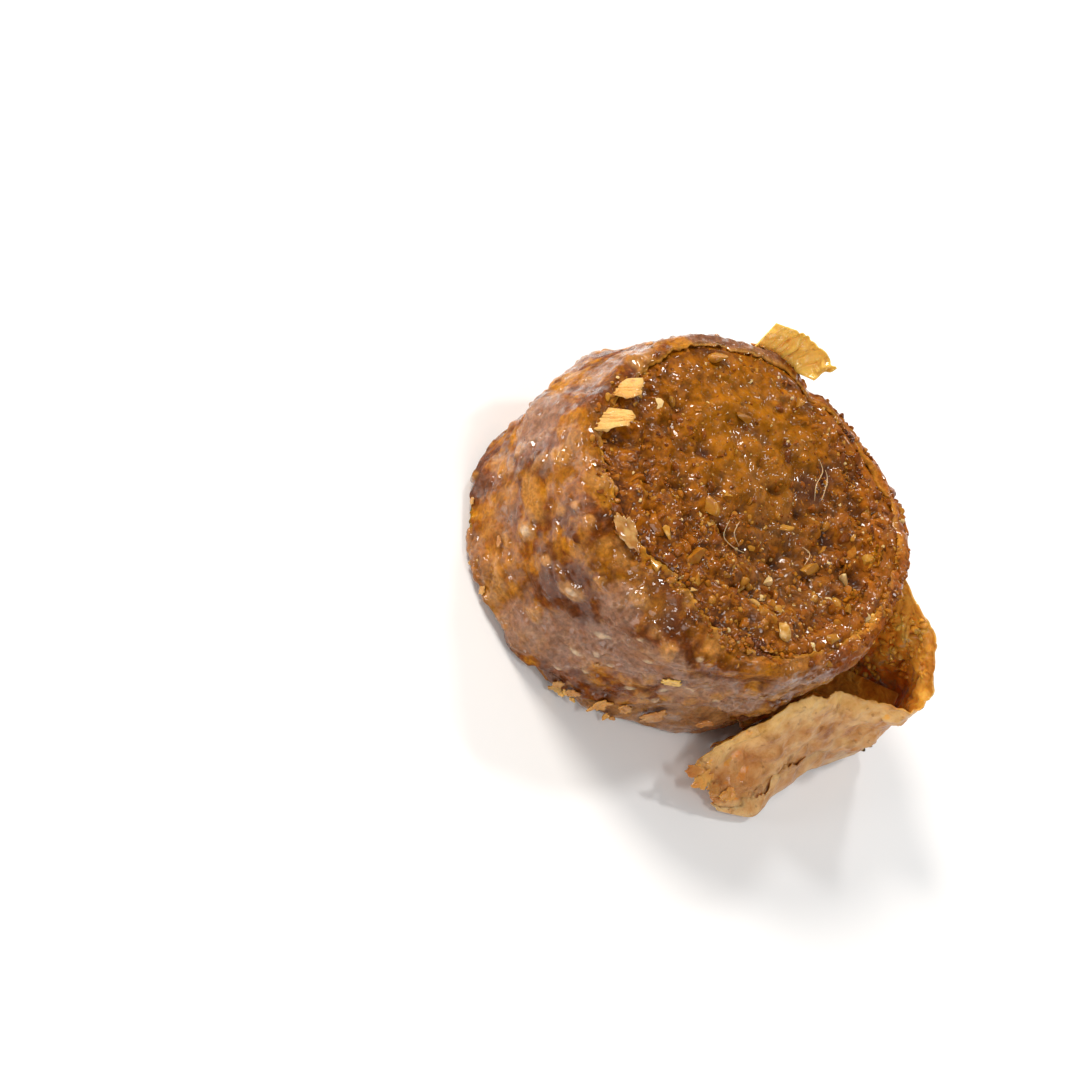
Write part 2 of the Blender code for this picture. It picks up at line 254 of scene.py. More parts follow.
# Adds one node with its settings and links. A settings key is a node's own setting or an input, and
# "size" is the size of a pattern in millimetres, over the piece's own coordinates. A link from a node
# takes its first output in use.
def addNode(tree, kind, settings=None, links=None):
    node = tree.nodes.new("ShaderNode" + kind)
    for key, value in (settings or {}).items():
        if key == "stops":
            stops = node.color_ramp.elements
            stops[0].position, stops[1].position = value[0][0], value[-1][0]
            stops[0].color, stops[1].color = value[0][1], value[-1][1]
            for place, colour in value[1:-1]:
                stops.new(place).color = colour
        elif key == "size":
            node.inputs["Scale"].default_value = 1000 / value
            tree.links.new(tree.nodes["place"].outputs["Object"], node.inputs["Vector"])
        elif isinstance(key, str) and hasattr(node, key):
            setattr(node, key, value)
        else:
            node.inputs[key].default_value = value
    for key, source in (links or {}).items():
        if isinstance(source, bpy.types.Node):
            source = next(socket for socket in source.outputs if socket.enabled)
        tree.links.new(source, node.inputs[key])
    return node


def newMaterial(name):
    material = bpy.data.materials.new(name)
    material.use_nodes = True
    tree = material.node_tree
    tree.nodes.clear()
    addNode(tree, "TexCoord", {"name": "place"})
    return material, tree


# Stops of a colour ramp, each a place and the name of a shade
def stopsOf(look, tones="tones"):
    return [(place, srgb(look[shade])) for place, shade in look[tones]]


# Lays one shade over the colour, as thickly as the share says
def layOver(tree, colour, shade, share):
    return addNode(tree, "Mix", {"data_type": "RGBA", 7: srgb(shade)}, {0: share, 6: colour})


# Lays shades over the colour where the mesh is marked, up to the most of each
def layMarks(tree, colour, look):
    for mark, shade, most in look["marks"]:
        read = addNode(tree, "Attribute", {"attribute_name": mark})
        share = addNode(
            tree, "Math", {"operation": "MULTIPLY", 1: most, "use_clamp": True}, {0: read.outputs["Fac"]})
        colour = layOver(tree, colour, look[shade], share)
    return colour


# Syrup film: the slope of its ripples, and how far it shines, which is most where it is thick
def syrupFilm(tree, look):
    wave = addNode(tree, "TexNoise", {"size": look["ripple"], "Detail": look["rippleDetail"]})
    film = addNode(
        tree, "Bump", {"Strength": look["rippleStrength"], "Distance": look["rippleDepth"] * mm},
        {"Height": wave})
    pools = addNode(tree, "TexNoise", {"size": look["pool"], "Detail": look["poolDetail"]})
    thin, thick, least = look["shine"]
    shine = addNode(
        tree, "MapRange", {"From Min": thin, "From Max": thick, "To Min": least}, {"Value": pools})
    return film, shine


def finishMaterial(tree, settings, links):
    shader = addNode(tree, "BsdfPrincipled", settings, links)
    addNode(tree, "OutputMaterial", {}, {"Surface": shader})


# Paste of ground walnut soaked in syrup: painted shade makes it dark between the crumbs, and it is honey
# amber where syrup stands
pasteFinish = {
    "deep": "#452004",
    "brown": "#743B05",
    "amber": "#9A5706",
    "honey": "#AA6A06",
    "dusky": "#744C24",
    "rust": "#AC6010",
    "plum": "#47261C",
    "tones": ((0.36, "deep"), (0.48, "brown"), (0.62, "amber")),
    "marks": (
        # The mark of low places lays the deep shade between the crumbs as painted shade
        ("wet", "honey", 0.5), ("hollow", "dusky", 0.55), ("ring", "rust", 0.55), ("low", "deep", 0.9),
        # The plum laid in the dark crease is painted shade
        ("stain", "plum", 0.85)),
    "crumb": 0.9,
    "speck": 0.35,
    "speckDepth": 0.08,
    "ripple": 1.0,  # of the syrup film, which breaks the lamps up into sparkles
    "rippleDetail": 2,
    "rippleStrength": 1.0,
    "rippleDepth": 0.16,
    "pool": 1.5,  # where the film is thick and glossy
    "poolDetail": 3,
    "shine": (0.46, 0.54, 0.15),
}


def makePasteMaterial():
    look = pasteFinish
    material, tree = newMaterial("syrupSoakedNutPaste")
    crumbs = addNode(tree, "TexNoise", {"size": look["crumb"], "Detail": 5, "Roughness": 0.62})
    tint = addNode(tree, "ValToRGB", {"stops": stopsOf(look)}, {"Fac": crumbs})
    colour = layMarks(tree, tint, look)
    specks = addNode(tree, "TexVoronoi", {"size": look["speck"]})
    bump = addNode(
        tree, "Bump", {"Strength": 0.6, "Distance": look["speckDepth"] * mm, "invert": True},
        {"Height": specks})
    dull = addNode(
        tree, "MapRange", {"From Min": 0.35, "From Max": 0.65, "To Min": 0.2, "To Max": 0.5},
        {"Value": crumbs})
    slope, shine = syrupFilm(tree, look)
    finishMaterial(tree, {
        "IOR": 1.48, "Subsurface Weight": 0.25, "Subsurface Radius": (1.0, 0.4, 0.12),
        "Subsurface Scale": 0.5 * mm, "Specular IOR Level": 0.05, "Coat Roughness": 0.05, "Coat IOR": 1.42},
        {"Base Color": colour, "Roughness": dull, "Normal": bump, "Coat Weight": shine,
         "Coat Normal": slope})
    return material


# Chopped walnut: each bit has its own tone, from dark skin to pale kernel, under a coat of syrup
nutFinish = {
    "skin": "#55290A",
    "brown": "#7A3E08",
    "tan": "#9C5A10",
    "kernel": "#B27E2C",
    "pale": "#DDBA80",
    "tones": ((0.05, "skin"), (0.3, "brown"), (0.55, "tan"), (0.8, "kernel"), (0.97, "pale")),
    "grain": 0.5,
    "grainDepth": 0.08,
    "grainShift": (0.5, -0.25),  # how far the grain moves the tone of a bit up or down
    "ripple": 0.9,
    "rippleDetail": 2,
    "rippleStrength": 0.8,
    "rippleDepth": 0.08,
    "pool": 1.5,
    "poolDetail": 3,
    "shine": (0.42, 0.52, 0.25),
}


def makeNutMaterial():
    look = nutFinish
    material, tree = newMaterial("choppedWalnut")
    tone = addNode(tree, "Attribute", {"attribute_name": "tone"})
    grain = addNode(tree, "TexNoise", {"size": look["grain"], "Detail": 4})
    reach, lower = look["grainShift"]
    moved = addNode(tree, "Math", {"operation": "MULTIPLY_ADD", 1: reach, 2: lower}, {0: grain})
    toned = addNode(tree, "Math", {"operation": "ADD"}, {0: tone.outputs["Fac"], 1: moved})
    tint = addNode(tree, "ValToRGB", {"stops": stopsOf(look)}, {"Fac": toned})
    bump = addNode(tree, "Bump", {"Strength": 0.5, "Distance": look["grainDepth"] * mm}, {"Height": grain})
    slope, shine = syrupFilm(tree, look)
    finishMaterial(tree, {
        "IOR": 1.47, "Roughness": 0.36, "Subsurface Weight": 0.25, "Subsurface Radius": (1.0, 0.5, 0.2),
        "Subsurface Scale": 0.45 * mm, "Specular IOR Level": 0.05, "Coat Roughness": 0.05, "Coat IOR": 1.42},
        {"Base Color": tint, "Normal": bump, "Coat Weight": shine, "Coat Normal": slope})
    return material


# Filo soaked in syrup: thin and clear, so the nuts under it show as paler lumps, with a wet gloss
wrapFinish = {
    "deep": "#582806",
    "amber": "#7A3A04",
    "gold": "#B06E0E",
    "nut": "#B47A36",
    # Grey-violet of the misty film, partly a painted reflection and sheen
    "haze": "#94694F",
    "pale": "#C8A888",
    "rust": "#AE5A12",
    "film": "#CF9030",
    "under": "#A67244",
    "cream": "#CDB08C",
    "fleck": "#542406",
    "fibreDark": "#404040",
    "fibrePale": "#DCDCDC",
    "tones": ((0.4, "deep"), (0.49, "amber"), (0.6, "gold")),
    "fibreTones": ((0.42, "fibreDark"), (0.58, "fibrePale")),
    "fibreShare": 0.28,
    "marks": (
        ("warm", "gold", 0.7), ("dusk", "deep", 0.85), ("haze", "haze", 0.9), ("under", "nut", 0.75),
        ("fold", "pale", 0.2), ("ring", "rust", 0.6), ("edge", "film", 0.6), ("low", "under", 0.75),
        # The deep shade here also darkens a band under the torn edge, as painted shade
        ("stain", "deep", 0.85), ("dots", "cream", 0.75)),
    "mottle": 3.6,
    "bits": 1.3,  # ground nuts right under the sheet
    "clumps": 2.2,
    "thread": 0.4,
    "threadDepth": 0.22,
    "ripple": 2.2,  # long waves, so that the low lamps show as wet glints
    "rippleDetail": 1,
    "rippleStrength": 1.0,
    "rippleDepth": 1.25,
    "drops": 1.5,
    "dropDepth": 0.4,
    "pool": 2.6,
    "poolDetail": 4,
    "shine": (0.47, 0.53, 0.05),
    "hazeShine": 0.4,  # what the mist adds to the shine
}


def makeWrapMaterial():
    look = wrapFinish
    material, tree = newMaterial("syrupSoakedFilo")
    mottle = addNode(
        tree, "TexNoise", {"size": look["mottle"], "Detail": 6, "Roughness": 0.6, "Distortion": 0.6})
    colour = addNode(tree, "ValToRGB", {"stops": stopsOf(look)}, {"Fac": mottle})
    bits = addNode(tree, "TexVoronoi", {"size": look["bits"], "Randomness": 1})
    near = addNode(
        tree, "MapRange", {"From Min": 0.34, "From Max": 0.24, "To Max": 0.45}, {"Value": bits})
    clumps = addNode(tree, "TexNoise", {"size": look["clumps"], "Detail": 2})
    where = addNode(tree, "MapRange", {"From Min": 0.46, "From Max": 0.6}, {"Value": clumps})
    shown = addNode(tree, "Math", {"operation": "MULTIPLY"}, {0: near, 1: where})
    dark = addNode(
        tree, "MapRange", {"From Min": 0.52, "From Max": 0.38, "To Max": 0.85}, {"Value": clumps})
    colour = layOver(tree, colour, look["deep"], dark)
    colour = layOver(tree, colour, look["nut"], shown)
    colour = layMarks(tree, colour, look)
    threads = addNode(tree, "TexNoise", {"size": look["thread"], "Detail": 5, "Roughness": 0.6})
    fibres = addNode(tree, "ValToRGB", {"stops": stopsOf(look, "fibreTones")}, {"Fac": threads})
    colour = addNode(
        tree, "Mix", {"data_type": "RGBA", "blend_type": "OVERLAY", 0: look["fibreShare"]},
        {6: colour, 7: fibres})
    flecks = addNode(
        tree, "MapRange", {"From Min": 0.66, "From Max": 0.74, "To Max": 0.6}, {"Value": threads})
    colour = layOver(tree, colour, look["fleck"], flecks)
    bump = addNode(
        tree, "Bump", {"Strength": 0.7, "Distance": look["threadDepth"] * mm}, {"Height": threads})
    slope, shine = syrupFilm(tree, look)
    drops = addNode(
        tree, "TexVoronoi", {"feature": "SMOOTH_F1", "size": look["drops"], "Smoothness": 0.4})
    beaded = addNode(
        tree, "Bump", {"Strength": 1.0, "Distance": look["dropDepth"] * mm, "invert": True},
        {"Height": drops, "Normal": slope})
    haze = addNode(tree, "Attribute", {"attribute_name": "haze"})
    wet = addNode(
        tree, "Math", {"operation": "MULTIPLY_ADD", "use_clamp": True, 1: look["hazeShine"]},
        {0: haze.outputs["Fac"], 2: shine})
    dull = addNode(
        tree, "MapRange", {"From Min": 0.4, "From Max": 0.62, "To Min": 0.2, "To Max": 0.46},
        {"Value": mottle})
    finishMaterial(tree, {
        "IOR": 1.47, "Subsurface Weight": 0.3, "Subsurface Radius": (1.0, 0.45, 0.16),
        "Subsurface Scale": 0.6 * mm, "Specular IOR Level": 0.05, "Coat Roughness": 0.06, "Coat IOR": 1.46},
        {"Base Color": colour, "Roughness": dull, "Normal": bump,
         "Coat Weight": wet, "Coat Normal": beaded})
    return material


# Loose filo: dry and beige on its outer side, orange and sticky on the side that lay on the syrup
looseFinish = {
    "cream": "#EABC80",
    "beige": "#D09658",
    "russet": "#A65E22",
    "orange": "#F6A634",
    "burnt": "#CC7218",
    "gold": "#FACA60",
    "fleck": "#7E4418",
    "rosy": "#BE7A3E",
    "outerTones": ((0.3, "russet"), (0.46, "beige"), (0.62, "cream")),
    "innerTones": ((0.35, "burnt"), (0.55, "orange"), (0.72, "gold")),
    "marks": (("rosy", "rosy", 0.5), ("golden", "gold", 1.0), ("burnt", "fleck", 0.5)),
    "mottle": 2.6,
    "fleckSize": 0.7,
    "fleckDepth": 0.12,
    "wrinkle": 1.5,
    "wrinkleDepth": 0.5,
    "grit": 0.8,
    "gritDepth": 0.16,
    "sticky": (0.3, 0.9),  # gloss of the dry side and of the side that lay on the syrup
}


def makeLooseMaterial():
    look = looseFinish
    material, tree = newMaterial("driedFiloSheet")
    mottle = addNode(tree, "TexNoise", {"size": look["mottle"], "Detail": 6, "Roughness": 0.65})
    outer = addNode(tree, "ValToRGB", {"stops": stopsOf(look, "outerTones")}, {"Fac": mottle})
    inner = addNode(tree, "ValToRGB", {"stops": stopsOf(look, "innerTones")}, {"Fac": mottle})
    side = addNode(tree, "Attribute", {"attribute_name": "inner"}).outputs["Fac"]
    colour = addNode(tree, "Mix", {"data_type": "RGBA"}, {0: side, 6: outer, 7: inner})
    colour = layMarks(tree, colour, look)
    flecks = addNode(tree, "TexNoise", {"size": look["fleckSize"], "Detail": 3})
    spots = addNode(tree, "MapRange", {"From Min": 0.6, "From Max": 0.7, "To Max": 0.45}, {"Value": flecks})
    colour = layOver(tree, colour, look["fleck"], spots)
    wrinkles = addNode(tree, "TexNoise", {"size": look["wrinkle"], "Detail": 4, "Distortion": 0.8})
    creased = addNode(
        tree, "Bump", {"Strength": 1.0, "Distance": look["wrinkleDepth"] * mm}, {"Height": wrinkles})
    bump = addNode(
        tree, "Bump", {"Strength": 0.6, "Distance": look["fleckDepth"] * mm},
        {"Height": flecks, "Normal": creased})
    dull = addNode(
        tree, "MapRange", {"From Min": 0.4, "From Max": 0.62, "To Min": 0.28, "To Max": 0.5},
        {"Value": mottle})
    grit = addNode(tree, "TexVoronoi", {"size": look["grit"]})
    beaded = addNode(
        tree, "Bump", {"Strength": 0.8, "Distance": look["gritDepth"] * mm, "invert": True},
        {"Height": grit})
    dry, soaked = look["sticky"]
    sticky = addNode(tree, "MapRange", {"To Min": dry, "To Max": soaked}, {"Value": side})
    finishMaterial(tree, {
        "IOR": 1.47, "Subsurface Weight": 0.5, "Subsurface Radius": (1.0, 0.75, 0.45),
        "Subsurface Scale": 0.4 * mm, "Specular IOR Level": 0.15, "Coat Roughness": 0.08, "Coat IOR": 1.42},
        {"Base Color": colour, "Roughness": dull, "Normal": bump,
         "Coat Weight": sticky, "Coat Normal": beaded})
    return material


# Sugar syrup, set in a chip or drawn out in threads: smooth and glossy, and the threads are whitish
syrupFinish = {
    "amber": "#A0682A",
    "clear": "#C49858",
    "thread": "#C8A478",
    "tones": ((0.4, "amber"), (0.65, "clear")),
    "cloud": 0.8,
}


def makeSyrupMaterial():
    look = syrupFinish
    material, tree = newMaterial("sugarSyrup")
    cloud = addNode(tree, "TexNoise", {"size": look["cloud"], "Detail": 3})
    tint = addNode(tree, "ValToRGB", {"stops": stopsOf(look)}, {"Fac": cloud})
    drawn = addNode(tree, "Attribute", {"attribute_name": "drawn"})
    colour = layOver(tree, tint, look["thread"], drawn.outputs["Fac"])
    dull = addNode(tree, "MapRange", {"To Min": 0.05, "To Max": 0.25}, {"Value": cloud})
    finishMaterial(tree, {
        "IOR": 1.48, "Subsurface Weight": 0.3, "Subsurface Scale": 0.5 * mm, "Coat Weight": 0.6},
        {"Base Color": colour, "Roughness": dull})
    return material


paste = makePasteMaterial()
walnut = makeNutMaterial()
soakedFilo = makeWrapMaterial()
looseFilo = makeLooseMaterial()
syrup = makeSyrupMaterial()
print("materials made")

# The paste that fills the roll, from one cut face to the other
filling = {
    "cells": 200,  # across the cut face, so one is 0.14 mm
    "tuck": 0.8,  # how far the paste runs on under the folded edge of the outer sheet
    "lump": 2.1,
    "lumpRelief": 0.8,
    "crumb": 0.9,
    "crumbRelief": 0.4,
    "grit": 0.46,
    "gritRelief": 0.16,
    "side": (15.7, 15.2, 13.5, 10.5, 7.5, 4.5, 1.5, 0.3),
}


# Damp crease in the face, cut in and darkened with painted shade: x, y, reach
darkCreaseAt = [(818, 490, 1.5), (808, 482, 1.0), (826, 478, 1.0), (706, 455, 0.5)]


def darkCreaseOn(x, y):
    total = np.zeros(np.shape(x))
    for pixelX, pixelY, reach in darkCreaseAt:
        centre, normal = underPixel(pixelX, pixelY)
        total = np.maximum(total, np.exp(-((x - centre[0]) ** 2 + (y - centre[1]) ** 2) / reach ** 2))
    return total


def wetness(x, y):
    return np.clip(patch(x, y, -6.4, 2.4, 7.2, 8.6) + 0.8 * patch(x, y, -1.0, 5.0, 4.5, 5.5), 0, 1)


def faceRelief(x, y):
    flat = np.stack([x, y, np.full_like(x, 0.3 * filling["lump"])], -1)
    lumps = 0.42 - 1.1 * readCells(flat, filling["lump"]) ** 2
    small = readNoise(flat, filling["lump"] / 2.6)
    turns = np.hypot(x, y) / roll["pitch"] - np.arctan2(y, x) / math.tau
    coarse = filling["lumpRelief"] * (lumps + 0.35 * small) + 0.2 * np.cos(math.tau * turns)
    crumbs = filling["crumbRelief"] * (0.3 - readCells(flat, filling["crumb"], 5) ** 2)
    grit = filling["gritRelief"] * (0.3 - readCells(flat, filling["grit"], 9) ** 2)
    wet = wetness(x, y)
    coarse = coarse - 0.5 * darkCreaseOn(x, y)
    return coarse * (1 - 0.25 * wet), (crumbs + grit) * (1 - 0.5 * wet)


# A point of the cut face, at a share of the way out to where the paste goes under the sheet
def onFace(share, azimuth):
    edge = lipEdge(azimuth)
    radius = share * (edge + filling["tuck"])
    point = settle(radius, azimuth, roll["height"])
    coarse, fine = faceRelief(point[..., 0], point[..., 1])
    inside = 1 - ease((radius - edge + 2.0) / 2.0)
    point[..., 2] += coarse * inside + fine * (0.3 + 0.7 * inside)
    point[..., 2] -= 0.45 * ease((radius - edge + 0.2) / 0.8)
    return point, coarse + fine


def discGrid(cells):
    line = np.linspace(-1, 1, cells + 1)
    a, b = np.meshgrid(line, line, indexing="ij")
    wide = np.abs(a) >= np.abs(b)
    share = np.maximum(np.abs(a), np.abs(b))
    base = np.where(share == 0, 1, np.where(wide, a, b))
    slant = 45 * np.where(wide, b, a) / base
    azimuth = np.where(wide, slant + np.where(a > 0, 0, 180), 90 - slant + np.where(b > 0, 0, 180))
    return share, azimuth


def makePaste():
    cells = filling["cells"]
    share, azimuth = discGrid(cells)
    face, relief = onFace(share, azimuth)
    x, y = face[..., 0], face[..., 1]
    side = roll["radius"] - roll["wall"] - roll["gap"]
    bottom = settle(share * (side - 0.3), azimuth, np.zeros_like(share))
    hollows = 0.15 + 0.45 * readNoise(bottom, 1.1) + 0.2 * readNoise(bottom, 0.45)
    bottom[..., 2] = np.maximum(0, hollows) * (share < 0.995)
    index = np.arange(face[..., 0].size).reshape(share.shape)
    rim = np.concatenate([index[0, :-1], index[:-1, -1], index[-1, :0:-1], index[:0:-1, 0]])
    rimAzimuth = azimuth.ravel()[rim]
    rings = []
    for height in filling["side"]:
        radius = np.full_like(rimAzimuth, side)
        rings.append(settle(radius, rimAzimuth, np.full_like(rimAzimuth, height - (height > 15) * 0.35)))
    points = np.concatenate([face.reshape(-1, 3), *rings, bottom.reshape(-1, 3)])
    loops = [rim] + [index.size + len(rim) * row + np.arange(len(rim)) for row in range(len(rings))]
    low = index + index.size + len(rim) * len(rings)
    loops.append(low.ravel()[rim])
    walls = [np.stack([a, b, np.roll(b, -1), np.roll(a, -1)], -1) for a, b in zip(loops, loops[1:])]
    faces = np.concatenate([gridFaces(index), *walls, gridFaces(low)[:, ::-1]])
    rest = len(points) - index.size
    sideways = np.zeros(rest)
    away = np.hypot(x, y)
    soaked = ease((away - 10.6) / 2.5) * swell(azimuth, 40, 70)
    marks = {
        "wet": np.concatenate([wetness(x, y).ravel(), sideways]),
        "hollow": np.concatenate([patch(x, y, 6.0, 0.0, 6.0, 7.0).ravel(), sideways]),
        "ring": np.concatenate([soaked.ravel(), sideways + 0.3]),
        # Low places: painted shade, strongest where the face sinks between its crumbs, and a little over the
        # sides
        "low": np.concatenate([ease((0.1 - relief) / 0.7).ravel(), sideways + 0.2]),
        # Painted shade in the dark crease of the face
        "stain": np.concatenate([darkCreaseOn(x, y).ravel(), sideways]),
    }
    return makePiece("nutPaste", points, faces, paste, "nut_filling", marks)


makePaste()

# Chopped nuts: how many, half width, roundness, how deep they sink, broken sides and how deep those cut
nutColumns = ("count", "half", "detail", "sink", "chips", "cut")
nutKinds = {
    "pieces": (170, (0.7, 1.45), 3, (0.45, 0.8), 8, (0.28, 0.7)),
    "bits": (1150, (0.28, 0.85), 2, (0.3, 0.8), 6, (0.32, 0.8)),
    "rim": (600, (0.22, 0.95), 2, (0.55, 1.1), 6, (0.3, 0.8)),
    "stuck": (150, (0.2, 0.6), 2, (0.4, 0.9), 5, (0.3, 0.8)),
    "border": (260, (0.16, 0.5), 2, (0.2, 0.8), 5, (0.3, 0.8)),
    "crumbs": (1700, (0.12, 0.3), 1, (0.0, 0.6), 2, (0.4, 0.85)),
}
nuts = {kind: dict(zip(nutColumns, row)) for kind, row in nutKinds.items()}
nutSeed = 41

# Part of the picture with crumbs stuck to the inner side of the loose end: left, top, right, bottom
stuckIn = (846, 612, 922, 676)
# Single nuts that stand out in the picture: x, y, half width, tone
pickedNuts = [
    (808, 570, 1.25, 0.72), (765, 583, 0.65, 0.98), (843, 580, 0.8, 0.92), (709, 505, 1.15, 0.7),
    (783, 528, 0.8, 0.75), (716, 358, 1.1, 0.7), (742, 418, 0.9, 0.66), (797, 405, 0.9, 0.72),
    (848, 612, 0.7, 0.78), (782, 632, 0.9, 0.85), (694, 556, 1.3, 0.62), (655, 565, 0.8, 0.8),
    (760, 600, 0.5, 0.95), (832, 640, 0.9, 0.74), (668, 532, 0.6, 0.8),
]


def ball(detail):
    work = bmesh.new()
    bmesh.ops.create_icosphere(work, subdivisions=detail, radius=1)
    points = np.array([vertex.co for vertex in work.verts])
    faces = np.array([[corner.index for corner in face.verts] for face in work.faces])
    work.free()
    return points, faces


# Lumps with a few flat broken sides each, turned every way
def chopped(places, halves, detail, chips, cut, draw):
    count = len(places)
    points, faces = ball(detail)
    body = np.repeat(points[None], count, 0)
    for chip in range(chips):
        way = unit(draw.normal(size=(count, 1, 3)))
        limit = draw.uniform(*cut, (count, 1, 1))
        over = np.maximum(0, (body * way).sum(-1, keepdims=True) - limit)
        body = body - way * over
    body = body * halves[:, None, None] * draw.uniform((0.85, 0.62, 0.5), (1.15, 0.95, 0.8), (count, 1, 3))
    spins = draw.normal(size=(count, 3, 3))
    first = unit(spins[:, 0])
    third = unit(np.cross(first, spins[:, 1]))
    turn = np.stack([first, np.cross(third, first), third], 1)
    body = np.einsum("nvi,nij->nvj", body, turn) + places[:, None]
    index = np.arange(count)[:, None, None] * len(points) + faces[None]
    return body.reshape(-1, 3), index.reshape(-1, 3), len(points)


def scatterNuts(kind, draw):
    size = nuts[kind]
    azimuth = draw.uniform(0, 360, size["count"])
    share = np.sqrt(draw.uniform(0, 0.93, size["count"]))
    places, relief = onFace(share, azimuth)
    halves = draw.uniform(*size["half"], size["count"])
    if kind == "rim":  # along the right edge, where the crumbs hide the end of the sheet
        azimuth = 56 + 66 * np.clip(draw.normal(0, 0.6, size["count"]), -1.5, 1.6)
        azimuth = azimuth + 6 * np.round(draw.normal(0, 1, size["count"]))
        radius = roll["radius"] - 1.3 + 1.2 * draw.uniform(-1, 0.7, size["count"])
        places = settle(radius, azimuth, np.full(size["count"], roll["height"] - 0.15))
        places[:, 2] -= 0.9 * ease((radius - roll["radius"] + 0.5) / 0.6)
    if kind == "border":  # over the edge of the sheet along the left
        azimuth = draw.uniform(-165, -15, size["count"])
        radius = lipEdge(azimuth) + draw.uniform(-0.2, 1.5, size["count"])
        places = settle(radius, azimuth, np.full(size["count"], roll["height"] + 0.05))
    if kind == "stuck":
        pixels = draw.uniform(stuckIn[:2], stuckIn[2:], (size["count"], 2))
        places = np.array([underPixel(x, y)[0] for x, y in pixels])
        sunk = draw.uniform(*size["sink"], size["count"]) * halves
        aside = np.hypot(places[:, 0], places[:, 1]) > roll["radius"] + 1.5
        places[~aside, 2] -= 1.2 * halves[~aside]
        places[:, :2] += sunk[:, None] * unit(places[:, :2]) * aside[:, None]
        points, faces, each = chopped(places, halves, size["detail"], size["chips"], size["cut"], draw)
        return points, faces, {"tone": np.repeat(draw.uniform(0.2, 0.85, size["count"]), each)}
    wet = wetness(places[:, 0], places[:, 1])
    sink = draw.uniform(*size["sink"], size["count"]) + 0.35 * wet
    places[:, 2] -= sink * halves
    # A few pale kernels, whose pale specks also stand in for the glints of the syrup as painted highlights
    paleKernelsAsGlints = draw.uniform(0, 1, size["count"]) < (0.1 if kind == "crumbs" else 0.03)  # a few pale kernels
    paler = 0.12 * patch(places[:, 0], places[:, 1], 6, 0, 6, 7)
    tone = 0.1 + 0.68 * draw.beta(2.0, 2.2, size["count"]) + 0.5 * paleKernelsAsGlints + paler
    if kind == "pieces":
        for number, (x, y, half, shade) in enumerate(pickedNuts):
            centre, normal = underPixel(x, y)
            places[number] = centre + normal * 0.25 * half
            halves[number] = half
            tone[number] = shade
    points, faces, each = chopped(places, halves, size["detail"], size["chips"], size["cut"], draw)
    return points, faces, {"tone": np.repeat(tone, each)}


sharpFrom = 45  # broken sides that meet at more than this keep a crisp edge


def makeNuts(name, kinds, draw):
    points, faces, marks = joinShells([scatterNuts(kind, draw) for kind in kinds])
    return makePiece(name, points, faces, walnut, "nut_filling", marks, sharpFrom)


nutDraw = np.random.default_rng(nutSeed)
makeNuts("choppedWalnuts", ("pieces", "bits"), nutDraw)
makeNuts("nutCrumbs", ("crumbs", "rim", "border"), nutDraw)

# The outer filo sheet round the roll, folded over the upper edge
wrap = {
    "columns": 600,
    "wallRows": 84,
    "skirtStep": 0.5,
    "skirtHeight": 1.2,
    "tornRise": 6.8,  # how much higher the sheet has torn off at the front
    "hemLift": 0.4,
    "lumpSize": 3.4,
    "lumpRelief": 0.6,
    "foldRelief": 0.3,
    "nutSize": 2.3,
    "nutRelief": 0.14,
    "creaseSize": 1.5,
    "creaseRelief": 0.16,
}
# Whole bits that show through the sheet, by where the picture has them: x, y, half length, half width, slant
underNuts = [
    (531, 497, 2.3, 1.15, 55), (526, 531, 1.0, 0.9, 0), (572, 592, 1.3, 0.9, 10), (500, 585, 1.0, 0.7, 70),
    (560, 455, 1.2, 0.8, 20), (598, 480, 1.1, 0.8, 40), (520, 450, 0.9, 0.7, 0), (640, 600, 1.2, 0.7, 30),
    (545, 560, 0.7, 0.5, 0), (560, 510, 0.6, 0.5, 0), (575, 505, 0.5, 0.4, 0), (505, 540, 0.7, 0.5, 60),
    # The last bit on the next line is a long ridge along a glossy streak at the left edge; its pale nut
    # colour there is partly a painted highlight
    (588, 520, 0.6, 0.5, 0), (600, 580, 0.6, 0.4, 0), (499, 577, 2.0, 0.5, 78),
]
# Cream dots on the sheet, in the same way
paleDots = [
    (575, 652, 0.6, 0.3, 20), (603, 636, 0.8, 0.25, 10), (630, 688, 0.45, 0.35, 0), (648, 662, 0.4, 0.3, 0),
    (690, 690, 0.5, 0.3, 40), (716, 700, 0.35, 0.3, 0), (558, 668, 0.35, 0.25, 0), (664, 690, 0.4, 0.25, 0),
    (610, 665, 0.35, 0.25, 0), (596, 655, 0.3, 0.25, 0), (700, 660, 0.3, 0.25, 0), (585, 672, 0.3, 0.25, 0),
    (640, 640, 0.3, 0.2, 0), (655, 700, 0.3, 0.25, 0), (526, 531, 0.5, 0.45, 0), (572, 592, 0.5, 0.35, 10),
]
# Dark raised wrinkles, in the same way
darkWrinkles = [(688, 648, 1.7, 0.42, 80), (741, 462, 0.1, 0.1, 0), (577, 538, 0.6, 0.35, 30)]
# Where the sheet has gone misty, its grey-violet partly a painted reflection of the pale floor and a painted
# sheen: x, y, reach
mistAndSheenSpots = [
    (538, 422, 3.0), (600, 372, 2.2), (640, 350, 1.2), (520, 628, 2.6), (560, 642, 3.2), (612, 648, 3.0),
    (655, 668, 3.2), (700, 690, 3.4), (736, 704, 2.8), (620, 606, 2.2), (785, 688, 2.0),
]
